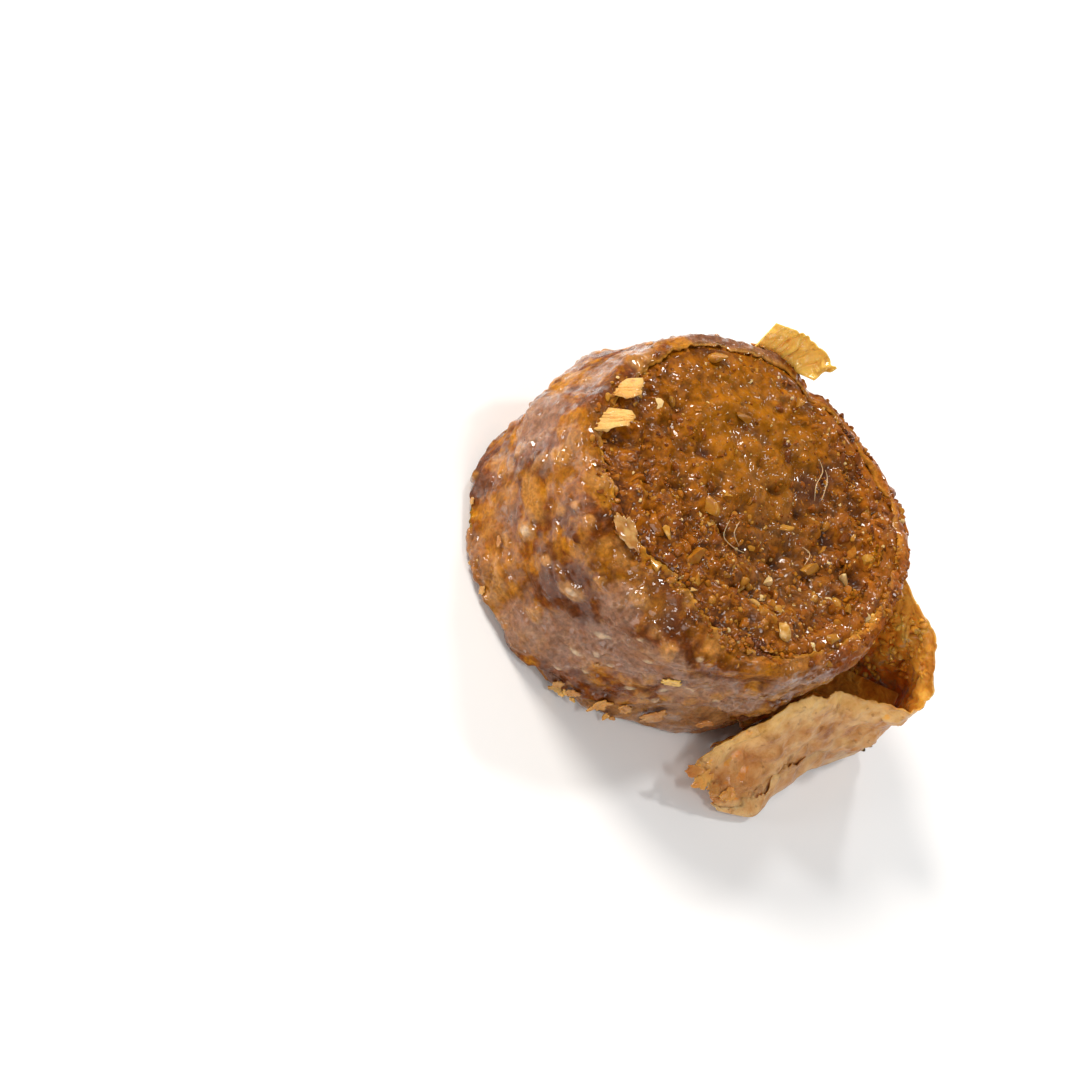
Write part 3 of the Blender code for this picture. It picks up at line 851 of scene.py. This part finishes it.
# Where the sheet is bright amber, and where it is nearly brown: x, y, reach
warmSpots = [
    (492, 560, 3.2), (488, 524, 2.0), (488, 596, 2.0), (512, 634, 1.4), (508, 500, 1.2), (500, 610, 3.0),
    (585, 452, 2.6), (560, 480, 2.2), (640, 592, 2.4), (760, 655, 1.8), (536, 640, 1.5), (600, 428, 1.8),
    (608, 480, 1.6), (618, 552, 1.4), (652, 606, 1.4), (700, 630, 1.3), (730, 650, 1.4), (790, 672, 1.5),
    (822, 684, 1.3),
]
duskSpots = [
    (552, 575, 2.6), (590, 545, 1.4), (530, 470, 1.8), (560, 610, 2.0), (620, 640, 2.0), (690, 650, 1.6),
    (545, 520, 1.5),
]


def skirtLine(azimuth):
    drum = onDrum(azimuth, 0)
    ragged = readNoise(drum, 3.2, 3) + 0.6 * readNoise(drum, 1.3, 8) + 0.35 * readNoise(drum, 0.5, 2)
    risen = wrap["tornRise"] * swell(azimuth, -30, 24) + 0.5 * swell(azimuth, -30, 50)
    return wrap["skirtHeight"] * (0.9 + 0.7 * ragged) + risen


# Radius, height and share of relief down the sheet's section, from its lower edge up, over and back inside
def wrapSection(azimuth):
    outer = roll["radius"]
    inner = outer - roll["wall"]
    top = roll["height"]
    under = top - roll["lipDepth"]
    step = outer - wrap["skirtStep"]
    drum = onDrum(azimuth, 0)
    frayed = 0.4 * readNoise(drum, 1.7, 5) + 0.22 * readNoise(drum, 0.6, 6)
    lip = lipEdge(azimuth) + 0.3 + frayed
    hem = wrap["hemLift"] * (1 + readNoise(drum, 2.4, 14))
    torn = np.maximum(skirtLine(azimuth), hem + 0.5)
    stations = [
        (step - 0.15, hem, 0.3, 2), (step, hem + 0.25, 0.6, 26), (step + 0.02, torn - 0.02, 0.5, 2),
        (outer + 0.1, torn - 0.14, 0.9, 3), (outer + 0.02, torn + 0.3, 1.0, wrap["wallRows"]),
        (outer, top - 1.3, 1.0, 4), (outer - 0.12, top - 0.7, 0.9, 4), (outer - 0.42, top - 0.24, 0.8, 4),
        (outer - 0.9, top + 0.02, 0.7, 7), ((outer - 0.9 + lip) / 2, top + 0.12, 0.6, 9),
        (lip + 0.12, top + 0.06, 0.5, 1), (lip, top - 0.04, 0.4, 1), (lip + 0.04, top - 0.2, 0.3, 1),
        (lip + 0.3, under, 0.0, 2), (inner - 0.2, under, 0.0, 1), (inner, under - 0.3, 0.0, 3),
        (inner, top * 0.5, 0.0, 3), (inner, hem, 0.0, 1),
    ]
    rows = []
    for number, (radius, height, relief, steps) in enumerate(stations):
        after = stations[(number + 1) % len(stations)]
        for row in range(steps):
            part = row / steps
            rows.append([(a + (b - a) * part) + 0 * azimuth for a, b in zip((radius, height, relief), after)])
    return [np.array([row[part] for row in rows]) for part in range(3)]


# Oblong swellings at the places found in the picture, 1 at the middle of each
def spotsOn(points, spots):
    total = np.zeros(points.shape[:-1])
    for x, y, long, wide, slant in spots:
        centre, normal = underPixel(x, y)
        turn = math.radians(slant)
        lengthways = np.array(imageRight) * math.cos(turn) + np.array(imageDown) * math.sin(turn)
        lengthways = unit(lengthways - normal * (lengthways @ normal))
        crossways = np.cross(normal, lengthways)
        away = points - centre
        flat = ((away @ lengthways) / long) ** 2 + ((away @ crossways) / wide) ** 2
        total = np.maximum(total, ease(1.35 - (flat + ((away @ normal) / 3) ** 2)))
    return total


def cloudsOn(points, spots):
    total = np.zeros(points.shape[:-1])
    for x, y, reach in spots:
        centre, normal = underPixel(x, y)
        total = np.maximum(total, np.exp(-((np.linalg.norm(points - centre, axis=-1) / reach) ** 2)))
    return total


def makeWrap():
    columns = wrap["columns"]
    azimuth = np.linspace(0, 360, columns, endpoint=False)
    radius, height, share = wrapSection(azimuth)
    around = np.broadcast_to(azimuth, radius.shape)
    base = settle(radius, around, height)
    ringed = np.concatenate([base[:, -1:], base, base[:, :1]], 1)
    normal = -surfaceNormals(ringed)[:, 1:-1]
    normal[share <= 0] = 0
    over = ease((height - 14.4) / 1.6)[..., None]
    drum = onDrum(around, height) * (1 - over) + base * over  # the fold-over has its own relief
    lumps = np.maximum(readNoise(drum, wrap["lumpSize"]), -0.15)
    folds = np.abs(readNoise(drum * (1, 1, 2.2), 2.6, 20))
    warped = base + 0.8 * np.stack([readNoise(base, 2.0, at) for at in (1, 4, 7)], -1)
    cells = readCells(warped, wrap["nutSize"], 2)
    patches = ease((readNoise(base, 6.0, 11) + 0.35) / 0.4)
    scattered = ease((0.5 - cells) / 0.28) * patches
    picked = spotsOn(base, underNuts)
    beneath = np.maximum(scattered, picked)
    # The misty zones take the grey-violet colour, partly a painted reflection of the pale floor and a painted
    # sheen
    seen = ease((cloudsOn(base, mistAndSheenSpots) + 0.12 * readNoise(base, 1.2, 9) - 0.32) / 0.22)
    unseen = 0.8 * ease((readNoise(drum, 5.0, 31) - 0.12) / 0.2) * swell(around, 90, 110)
    mistAndSheenShare = np.clip(seen + unseen, 0, 1)
    slanted = drum * (1.0, 1.0, 0.55)
    ridge = 1 - np.abs(readNoise(slanted, wrap["creaseSize"], 17)) / 0.5
    crease = np.clip(ridge, 0, 1) ** 5 * (0.35 + 0.65 * mistAndSheenShare)
    fine = readNoise(drum, 0.7, 23)
    wrinkled = spotsOn(base, darkWrinkles)
    dotted = spotsOn(base, paleDots)
    small = ease((0.55 - readCells(warped, 0.85, 6)) / 0.5) * ease(readNoise(base, 2.6, 15) * 2 + 0.5)
    relief = 0.3 * wrinkled + 0.1 * dotted + 0.17 * small + wrap["lumpRelief"] * lumps
    relief = relief + wrap["foldRelief"] * (folds - 0.15)
    relief = relief + wrap["nutRelief"] * (beneath - 0.3) + wrap["creaseRelief"] * (crease - 0.3)
    relief = relief + 0.03 * fine
    points = base + normal * (share * relief)[..., None]
    rising = readNoise(base, 1.3, 31) + 0.5 * readNoise(base, 0.6, 33)
    onTop = ease((height - roll["height"] + 0.9) / 0.6) * (share > 0)
    frays = np.clip(readNoise(base, 1.1, 41) + 0.6 * readNoise(base, 0.5, 43), -0.2, 1)
    frayed = swell(around, 30, 80) * (0.3 + 0.7 * frays)
    points[..., 2] += onTop * (0.22 * rising - 0.55 * frayed)
    index = np.arange(radius.size).reshape(radius.shape)
    closed = np.concatenate([index, index[:1]])
    closed = np.concatenate([closed, closed[:, :1]], 1)
    patchy = 0.75 + 0.5 * readNoise(base, 1.4, 51)
    hidden = 1 - ease(swell(around, -105, 95) * 1.4)  # unseen sides get patches of their own
    warm = cloudsOn(base, warmSpots) + hidden * ease(readNoise(base, 5.0, 61) * 3)
    dusk = cloudsOn(base, duskSpots) + hidden * ease(readNoise(base, 3.5, 71) * 3 - 0.4)
    # Band just under the torn edge of the outer sheet, darkened as painted shade under its lip
    tornLine = ease((0.25 - np.abs(skirtLine(around) - 0.2 - height)) / 0.2)
    marks = {
        "warm": warm * patchy,
        "dusk": dusk * patchy,
        "edge": np.exp(-(((radius - radius.min(0)) / 0.35) ** 2)) * ease((height - 14.5) / 1.0),
        "under": beneath,
        "dots": dotted,
        "haze": mistAndSheenShare * (0.85 + 0.3 * readNoise(drum, 0.9, 3)),
        "fold": crease,
        "ring": swell(around, 50, 62) * ease((height - 14.2) / 1.4),
        "low": ease((skirtLine(around) - 0.1 - height) / 0.3) * (share > 0),
        "stain": np.clip(wrinkled + 0.5 * tornLine, 0, 1),
    }
    marks = {name: values.ravel() for name, values in marks.items()}
    return makePiece("filoWrap", points.reshape(-1, 3), gridFaces(closed), soakedFilo, "phyllo_wrap", marks)


makeWrap()


# Smooth curve through the points, at shares of its length
def curveThrough(points, share):
    points = np.array(points, float)
    spans = len(points) - 1
    at = np.minimum(share * spans, spans - 1e-9)
    first = at.astype(int)
    t = (at - first)[..., None]
    before, a, b, after = (points[np.clip(first + k, 0, spans)] for k in (-1, 0, 1, 2))
    bend = (2 * before - 5 * a + 4 * b - after) * t ** 2
    return 0.5 * (2 * a + (b - before) * t + bend + (3 * a - before - 3 * b + after) * t ** 3)


def inWall(azimuth, height):
    return settle(roll["radius"] - roll["wall"] / 2, float(azimuth), float(height))


# A thin sheet spanned between two edges, bowed, creased, and torn along its free edges
def spanLeaf(leaf):
    lengths, widths = leaf["cells"]
    along, across = np.meshgrid(np.linspace(0, 1, lengths + 1), np.linspace(0, 1, widths + 1), indexing="ij")
    seed = leaf["seed"]
    lower, upper = leaf["lower"], leaf["upper"]
    length = np.linalg.norm(np.diff(np.array(upper, float), axis=0), axis=1).sum()
    width = np.linalg.norm(np.array(upper, float)[-1] - np.array(lower, float)[-1])
    edgeWalk = np.stack([along * length, 0 * along, 0 * along + seed], -1)
    rough = readNoise(edgeWalk, 2.1) + 0.7 * readNoise(edgeWalk, 0.8, 4) + 0.4 * readNoise(edgeWalk, 0.35, 9)
    torn = leaf["torn"] / max(width, 1) * np.clip(0.5 + 0.8 * rough, 0, 1.4) * ease(along)
    tipWalk = np.stack([0 * across, across * width, 0 * across + seed], -1)
    ragged = readNoise(tipWalk, 1.9, 2) + 0.7 * readNoise(tipWalk, 0.7, 5)
    reach = along * (1 - leaf["tip"] / length * np.clip(0.5 + 0.8 * ragged, 0, 1.3))
    risen = across * (1 - torn)
    point = curveThrough(lower, reach)
    point = point + (curveThrough(upper, reach) - point) * risen[..., None]
    outward = (np.array(upper[len(upper) // 2]) + np.array(lower[len(lower) // 2])) * (1, 1, 0)
    outward = unit(outward)
    free = ease((reach - 0.1) / 0.2)
    folded = readNoise(np.stack([reach * 14, risen * 2.2, 0 * reach + 3.1], -1), 1)
    away = leaf["bow"] * np.sin(math.pi * risen) + leaf["crease"] * folded * ease(risen * 4)
    away = away + leaf.get("curl", 0) * ease((risen - 0.8) / 0.2)
    point = point + outward * (free * away)[..., None]
    sheet = np.stack([reach * length, risen * width, 0 * reach + seed], -1)
    normal = surfaceNormals(point)
    waves = readNoise(sheet * (0.45, 1, 1), 1.3, 1) + 0.6 * readNoise(sheet * (0.5, 1.4, 1), 0.7, 2)
    ripple = leaf["ripple"] * waves
    crumple = np.abs(readNoise(sheet * (0.5, 1, 1), 2.4, 12))
    crumple = crumple + 0.4 * np.abs(readNoise(sheet * (0.7, 1, 1), 1.0, 13))
    ripple = ripple + leaf.get("crumple", 0.0) * (crumple - 0.3)
    grain = 0.3 - readCells(point, 0.8, 3) ** 2
    ripple = ripple - leaf.get("grain", 0.0) * grain * ease((0.62 - reach) / 0.1)
    point = point + normal * (ripple * free)[..., None]
    normal = surfaceNormals(point)
    edge = np.minimum(np.minimum(across, 1 - across) * width, (1 - along) * length) / 0.8
    half = leaf["thickness"] / 2 * (0.35 + 0.65 * ease(edge)) * (1 + 0.3 * readNoise(sheet, 1.2, 6))
    out = point + normal * half[..., None]
    back = point - normal * half[..., None]
    outside = (normal @ outward) > 0
    faces = shellFaces(lengths + 1, widths + 1)
    inner = np.concatenate([(~outside).ravel(), outside.ravel()])
    inner = np.maximum(inner, leaf.get("sticky", 0.0)).astype(float)
    streaks = readNoise(sheet * (0.35, 1, 1), 1.3, 7) + 0.5 * readNoise(sheet * (0.5, 1, 1), 0.5, 8)
    burnt = ease(0.6 - edge) * 0.7
    # A sticky sheet is streaked dark all over: on the sagged layer, painted shade for the gap it fills
    if "sticky" in leaf:
        burnt = 0.5 + 0.5 * ease(0.5 + 1.5 * streaks)
    rosy = ease(0.6 + 1.3 * streaks - 1.1 * risen ** 2) * (1 - 0.5 * leaf.get("golden", 0.0))
    rosy = np.maximum(rosy, leaf.get("tan", 0.0))
    # Darker along the crease lines of the crumple, painted shade in the creases
    burnt = np.maximum(burnt, leaf.get("crumple", 0.0) * ease(0.9 - crumple / 0.14))
    # Gold near the top edge, as much as the crest says, is a painted highlight along the fold
    golden = leaf.get("golden", 0.0) + leaf.get("crest", 0.0) * ease((risen - 0.72) / 0.2)
    marks = {"golden": golden, "burnt": burnt, "rosy": rosy}
    marks = {"inner": inner, **{mark: np.tile(values.ravel(), 2) for mark, values in marks.items()}}
    return np.concatenate([out.reshape(-1, 3), back.reshape(-1, 3)]), faces, marks


def joinLeaves(name, leaves, material, node):
    points, faces, marks = joinShells([spanLeaf(leaf) for leaf in leaves])
    return makePiece(name, points, faces, material, node, marks)


# The loose end of the outer sheet: out of the wall, round a bend, and back to its torn tip
looseEnds = [
    (inWall(60, 2.4), inWall(60, 14.4)), (inWall(51, 1.6), inWall(51, 14.8)),
    ((14.6, 13.2, 0.8), (13.8, 12.6, 15.0)), ((18.2, 13.7, 0.6), (17.2, 12.5, 14.8)),
    ((21.5, 13.4, 0.6), (20.3, 11.4, 13.0)), ((22.9, 11.3, 0.6), (21.4, 9.5, 11.5)),
    ((22.4, 8.3, 0.6), (19.7, 7.1, 10.9)), ((22.0, 5.4, 0.6), (17.8, 4.7, 10.3)),
    ((22.1, 2.6, 0.55), (16.1, 1.6, 10.4)), ((22.3, 0.0, 0.5), (15.7, -1.6, 8.7)),
    ((22.6, -2.6, 0.55), (15.8, -5.0, 4.9)), ((20.6, -5.9, 0.6), (16.2, -8.9, 2.7)),
]
looseEnd = {
    "lower": [pair[0] for pair in looseEnds],
    "upper": [pair[1] for pair in looseEnds],
    "cells": (320, 64),
    "thickness": 0.36,
    "bow": 0.6,
    "crease": 0.55,
    "ripple": 0.36,
    "crumple": 0.9,
    "grain": 0.3,
    "torn": 0.3,
    "tip": 1.2,
    "curl": 0.5,
    # How much painted highlight runs in gold along the top fold
    "crest": 0.25,
    "seed": 3,
}
# A torn outer layer of it that has come away towards the tip
tornLayer = {
    "lower": [tuple(np.array(pair[0]) + (0.45, -0.1, 0.05)) for pair in looseEnds[5:]],
    "upper": [
        tuple(np.array(low) * 0.66 + np.array(high) * 0.34 + (0.55, 0, 0)) for low, high in looseEnds[5:]],
    "cells": (150, 30), "thickness": 0.22, "bow": 0.3, "crease": 0.3, "ripple": 0.2, "torn": 1.2, "tip": 1.2,
    "seed": 8, "golden": 0.0,
}
# Its inner layer has sagged off it towards the foot of the roll, into the gap between the loose end and the
# roll; its heavy dark streaks are painted shade for that gap
innerShare = {"azimuths": (44, 34, 24, 14, 5, -4, -12), "from": 4, "reach": 0.86, "risen": 0.62}


def sagged():
    lower, upper = [], []
    for number, azimuth in enumerate(innerShare["azimuths"]):
        foot, crest = (np.array(point, float) for point in looseEnds[innerShare["from"] + min(number, 6)])
        wall = settle(roll["radius"], float(azimuth), 0.0)
        lower.append(tuple(foot + (wall - foot) * innerShare["reach"] * (1, 1, 0) + (0, 0, -0.1)))
        upper.append(tuple(foot + (crest - foot) * innerShare["risen"] - unit(foot * (1, 1, 0)) * 0.35))
    return {"lower": lower, "upper": upper, "cells": (120, 60), "thickness": 0.24, "bow": -0.5, "crease": 0.3,
            "ripple": 0.5, "torn": 0.8, "tip": 2.2, "seed": 5, "sticky": 1.0}


joinLeaves("looseFiloEnd", [looseEnd, tornLayer, sagged()], looseFilo, "phyllo_wrap")


# Crumbs stuck to the inner side of the loose end, soaked as orange as the sheet
def makeStuckCrumbs():
    points, faces, marks = scatterNuts("stuck", np.random.default_rng(nutSeed))
    tones = marks["tone"]
    golden, burnt = np.clip(2 * tones - 1.2, 0, 1), np.clip(1 - 2 * tones, 0, 1)
    marks = {"inner": np.ones(len(tones)), "golden": golden, "burnt": burnt}
    return makePiece("stuckCrumbs", points, faces, looseFilo, "phyllo_wrap", marks, sharpFrom)


makeStuckCrumbs()

# What the two small tan flakes at the left share
tanFlake = {
    "cells": (40, 30), "thickness": 0.16, "bow": 0.2, "crease": 0.25, "ripple": 0.1, "torn": 0.5, "tip": 0.7}
# Stiff golden flakes that stand up from the upper edge
flakes = [
    {
        "lower": [inWall(139, 15.2), inWall(131, 15.3), inWall(124, 15.6), (-6.2, 12.9, 17.0)],
        "upper": [(-12, 11.3, 18), (-10.3, 12.3, 18.9), (-8.4, 13.2, 19.3), (-6, 13.8, 19)],
        "cells": (60, 36), "thickness": 0.24, "bow": 0.35, "crease": 0.5, "ripple": 0.2, "torn": 0.3,
        "tip": 0.2, "seed": 11, "golden": 0.85,
    },
    {
        "lower": [inWall(-158, 15.2), inWall(-153, 15.4), inWall(-149, 15.2)],
        "upper": [(-13.3, -4.9, 17.7), (-12.3, -5.9, 18.1), (-12.1, -7.2, 17.6)],
        **tanFlake, "seed": 12, "golden": 0.25, "tan": 1.0,
    },
    {
        "lower": [inWall(-147, 15.2), inWall(-142, 15.4), inWall(-137, 15.1)],
        "upper": [(-11.4, -7.6, 17.5), (-10.5, -8.1, 18.0), (-10.2, -9.3, 17.3)],
        **tanFlake, "seed": 13, "golden": 0.3, "tan": 0.9,
    },
]
joinLeaves("standingFlakes", flakes, looseFilo, "phyllo_wrap")

# Ragged edges of the inner filo layers, which stand out of the cut face along its right side
layerEdges = {
    "seed": 7,
    "count": 13,
    "from": -55,
    "to": 110,
    "height": (0.05, 0.35),
    "thickness": 0.5,
}


def layerEdge(draw):
    middle = draw.uniform(layerEdges["from"], layerEdges["to"])
    half = draw.uniform(3, 9)
    azimuth = np.linspace(middle - half, middle + half, 6)
    depth = draw.uniform(-0.3, 2.2)
    share = (lipEdge(azimuth) - depth) / (lipEdge(azimuth) + filling["tuck"])
    base, relief = onFace(share, azimuth)
    rise = draw.uniform(*layerEdges["height"])
    lean = unit(base * (1, 1, 0)) * draw.uniform(-0.35, 0.35)
    return {
        "lower": [tuple(point - (0, 0, 0.4)) for point in base],
        "upper": [tuple(point) for point in base + lean + (0, 0, rise)],
        "cells": (40, 8), "thickness": layerEdges["thickness"], "bow": 0.1, "crease": 0.5, "ripple": 0.35,
        "torn": 0.6, "tip": 0.6, "seed": float(draw.uniform(20, 90)), "golden": float(draw.uniform(0, 0.35)),
    }


layerDraw = np.random.default_rng(layerEdges["seed"])
edges = [layerEdge(layerDraw) for number in range(layerEdges["count"])]
joinLeaves("innerFiloEdges", edges, soakedFilo, "nut_filling")

# Small scraps of filo that lie on the wall, the rim and the lower edge: x, y, half length, turn, golden
scraps = {
    "seed": 5,
    "picked": (
        (672, 681, 0.9, 10, 0.5), (600, 704, 0.9, 30, 0.1), (652, 716, 1.3, 20, 0.0),
        (625, 707, 0.8, 60, 0.1), (575, 692, 0.6, 10, 0.0), (705, 722, 0.7, 0, 0.0),
        (560, 683, 0.5, 40, 0.1), (692, 771, 0.8, 40, 0.0), (702, 780, 1.0, 80, 0.1),
        (726, 794, 0.8, 60, 0.1), (712, 788, 0.7, 30, 0.1), (758, 788, 0.5, 50, 0.0)),
    # Under the bend of the loose end: x, y, z, half length, turn, golden
    "fallen": (22.2, 13.0, 0.3, 1.4, 40, 0.35),
    "count": 26,
    "half": (0.25, 0.7),
    "thickness": 0.13,
}


def scrapShell(centre, normal, half, turn, curl, seed, lengthways=(0.79, -0.13, 0.6)):
    rows, columns = 15, 13
    u, v = np.meshgrid(np.linspace(-1, 1, rows), np.linspace(-1, 1, columns), indexing="ij")
    walk = np.stack([u, v, 0 * u + seed], -1)
    wide, deep = u * np.sqrt(1 - v * v / 2), v * np.sqrt(1 - u * u / 2)
    way = np.stack([wide, deep], -1) / np.maximum(np.hypot(wide, deep), 1e-6)[..., None]
    around = np.concatenate([way, np.full_like(wide, seed)[..., None]], -1)
    ragged = 1 + 0.5 * readNoise(around, 0.9, 1) + 0.4 * readNoise(around, 0.3, 2)
    wide, deep = wide * ragged, 0.68 * deep * ragged
    lift = curl * (wide * wide + 0.4 * deep) + 0.16 * readNoise(walk, 0.9, 3)
    lengthways = unit(lengthways - normal * (normal @ np.array(lengthways)))
    crossways = np.cross(normal, lengthways)
    spun = math.radians(turn)
    a = lengthways * math.cos(spun) + crossways * math.sin(spun)
    b = np.cross(normal, a)
    point = centre + half * (wide[..., None] * a + deep[..., None] * b + lift[..., None] * normal)
    way = surfaceNormals(point)
    thick = way * scraps["thickness"] / 2
    shell = np.concatenate([(point + thick).reshape(-1, 3), (point - thick).reshape(-1, 3)])
    return shell, shellFaces(rows, columns)


def makeScraps():
    draw = np.random.default_rng(scraps["seed"])
    spots = []
    for x, y, half, turn, golden in scraps["picked"]:
        centre, normal = underPixel(x, y)
        spots.append((centre + normal * 0.15, normal, half, turn, golden))
    x, y, z, half, turn, golden = scraps["fallen"]
    spots.append((np.array((x, y, z)), np.array((0.2, 0.1, 0.97)), half, turn, golden))
    while len(spots) < scraps["count"] + len(scraps["picked"]) + 1:
        azimuth = draw.uniform(0, 360)
        place = draw.choice(3, p=(0.7, 0.1, 0.2))
        height = (1.2, 15.6, draw.uniform(2, 14))[place]
        centre = settle(roll["radius"] + 0.1, azimuth, height)
        normal = unit(centre * (1, 1, 0) + (0, 0, (0, 6, 0)[place]))
        half = draw.uniform(*scraps["half"]) * (1, 1, 0.6)[place]
        spots.append((centre, normal, half, draw.uniform(0, 360), draw.uniform(0, 0.3)))
    shells = []
    for number, (centre, normal, half, turn, golden) in enumerate(spots):
        shell, some = scrapShell(centre, normal, half, turn, draw.uniform(-0.1, 0.3), number * 1.7)
        every = np.ones(len(shell))
        shells.append((shell, some, {"golden": golden * every, "shade": draw.uniform(0, 1) * every}))
    points, faces, marks = joinShells(shells)
    golden, shade = marks["golden"], marks["shade"]
    points[:, 2] = np.maximum(points[:, 2], 0.0)
    marks = {
        "inner": 0.8 * shade * (1 - golden),
        "golden": golden,
        "burnt": np.clip(1.3 - 1.2 * shade - 2 * golden, 0, 1),
        "rosy": (1 - golden) * (0.4 + 0.6 * shade),
    }
    return makePiece("filoScraps", points, faces, looseFilo, "phyllo_wrap", marks)


makeScraps()

# Threads that the syrup drew out over the cut face, by the pixels that they pass
threads = {
    "lines": [
        [(816, 462), (820, 474), (818, 487), (812, 500)],
        [(822, 470), (826, 482), (822, 496)],
        [(728, 520), (724, 534), (730, 548), (742, 552)],
        [(738, 522), (733, 533), (737, 545)],
        [(800, 548), (806, 556), (803, 566)],
    ],
    "thickness": 0.05,
    "rings": 30,
    "sides": 6,
    # Clear chip of set syrup over the edge of the sheet: x, y, half length, turn
    "chip": (625, 531, 1.7, -62),
}


def makeThreads():
    x, y, half, turn = threads["chip"]
    centre, normal = underPixel(x, y)
    turn = math.radians(turn)
    lengthways = np.array(imageRight) * math.cos(turn) - np.array(imageDown) * math.sin(turn)
    chip, some = scrapShell(centre + normal * 0.3, normal, half, 0, 0.05, 3.3, lengthways)
    aside = unit(np.cross(normal, lengthways))
    chip = chip - 0.3 * ((chip - centre) @ aside)[:, None] * aside  # narrower than the scraps of filo
    shells = [(chip, some, {"drawn": np.zeros(len(chip))})]
    rings, sides = threads["rings"], threads["sides"]
    for line in threads["lines"]:
        found = []
        for x, y in line:
            centre, normal = underPixel(x, y)
            found.append(centre + normal * 0.35)
        path = curveThrough(found, np.linspace(0, 1, rings))
        way = unit(np.gradient(path, axis=0))
        aside = unit(np.cross(way, (0.1, 0.2, 1.0)))
        above = np.cross(way, aside)
        width = threads["thickness"] * (0.35 + 0.65 * np.sin(np.linspace(0.15, math.pi - 0.15, rings)))
        ring = []
        for side in range(sides):
            turn = math.tau * side / sides
            ring.append(path + (aside * math.cos(turn) + above * math.sin(turn)) * width[:, None])
        tube = np.stack(ring, 1)
        index = np.arange(rings * sides).reshape(rings, sides)
        side = gridFaces(np.concatenate([index, index[:, :1]], 1))
        ends = [loop[[[0, 1, 2, 3], [0, 3, 4, 5]]] for loop in (index[0], index[-1, ::-1])]
        marks = {"drawn": np.ones(rings * sides)}
        shells.append((tube.reshape(-1, 3), np.concatenate([side, *ends]), marks))
    points, faces, marks = joinShells(shells)
    return makePiece("syrupThreads", points, faces, syrup, "nut_filling", marks)


makeThreads()

# Plain floor of matt white card, lit so that it comes out nearly white
stand = {"size": 1.6, "white": "#FFFFFF", "shade": "#FAF9F7", "cloud": 60, "clearance": 0.02}


def makeFloor():
    mesh = bpy.data.meshes.new("floor")
    half = stand["size"] / 2
    corners = [(-half, -half, 0), (half, -half, 0), (half, half, 0), (-half, half, 0)]
    mesh.from_pydata(corners, [], [(0, 1, 2, 3)])
    material, tree = newMaterial("mattWhiteCard")
    cloud = addNode(tree, "TexNoise", {"size": stand["cloud"]})
    tint = addNode(
        tree, "Mix", {"data_type": "RGBA", 6: srgb(stand["white"]), 7: srgb(stand["shade"])}, {0: cloud})
    finishMaterial(tree, {"Roughness": 0.75}, {"Base Color": tint})
    mesh.materials.append(material)
    floor = bpy.data.objects.new("floor", mesh)
    floor.location.z = -stand["clearance"] * mm
    bpy.context.scene.collection.objects.link(floor)


makeFloor()

# Studio light: a sky all round, a broad lamp up on the left and a soft one in front, three small ones
# from above for the sparkle of the syrup, and two low ones for the wet gloss on the wall
lamps = {
    "sky": ("#FFFFFF", 0.24),
    "broad": {"from": (-0.8, -0.05, 0.6), "far": 0.55, "size": 0.15, "power": 2.4, "tint": "#FFF8F0"},
    "top": {"from": (0.3, -0.2, 0.93), "far": 0.55, "size": 0.12, "power": 0.5, "tint": "#FFFFFF"},
    "sparkle": {"from": (0.05, 0.68, 0.73), "far": 0.55, "size": 0.07, "power": 0.8, "tint": "#FFFFFF"},
    "glint": {"from": (-0.55, 0.5, 0.7), "far": 0.55, "size": 0.07, "power": 0.6, "tint": "#FFFFFF"},
    "front": {"from": (0.55, -0.75, 0.4), "far": 0.7, "size": 0.4, "power": 1.15, "tint": "#FFFFFF"},
    "low": {"from": (-0.45, -0.82, 0.16), "far": 0.6, "size": 0.12, "power": 0.85, "tint": "#FFFFFF"},
    "left": {"from": (-0.9, -0.3, 0.14), "far": 0.6, "size": 0.11, "power": 0.7, "tint": "#FFFFFF"},
}


def addLamp(name):
    lamp = lamps[name]
    light = bpy.data.lights.new(name + "Lamp", "AREA")
    light.shape = "DISK"
    light.size = lamp["size"]
    light.energy = lamp["power"]
    light.color = srgb(lamp["tint"])[:3]
    holder = bpy.data.objects.new(name + "Lamp", light)
    way = Vector(lamp["from"]).normalized()
    holder.location = Vector((0, 0, 8 * mm)) + way * lamp["far"]  # round the middle of the piece
    holder.rotation_euler = way.to_track_quat("Z", "Y").to_euler()
    bpy.context.scene.collection.objects.link(holder)


world = bpy.data.worlds.new("studio")
world.use_nodes = True
sky = world.node_tree.nodes["Background"]
sky.inputs["Color"].default_value = srgb(lamps["sky"][0])
sky.inputs["Strength"].default_value = lamps["sky"][1]
bpy.context.scene.world = world
for name in ("broad", "top", "sparkle", "glint", "front", "low", "left"):
    addLamp(name)
bpy.context.scene.view_settings.view_transform = "Standard"
print("floor and lamps placed")
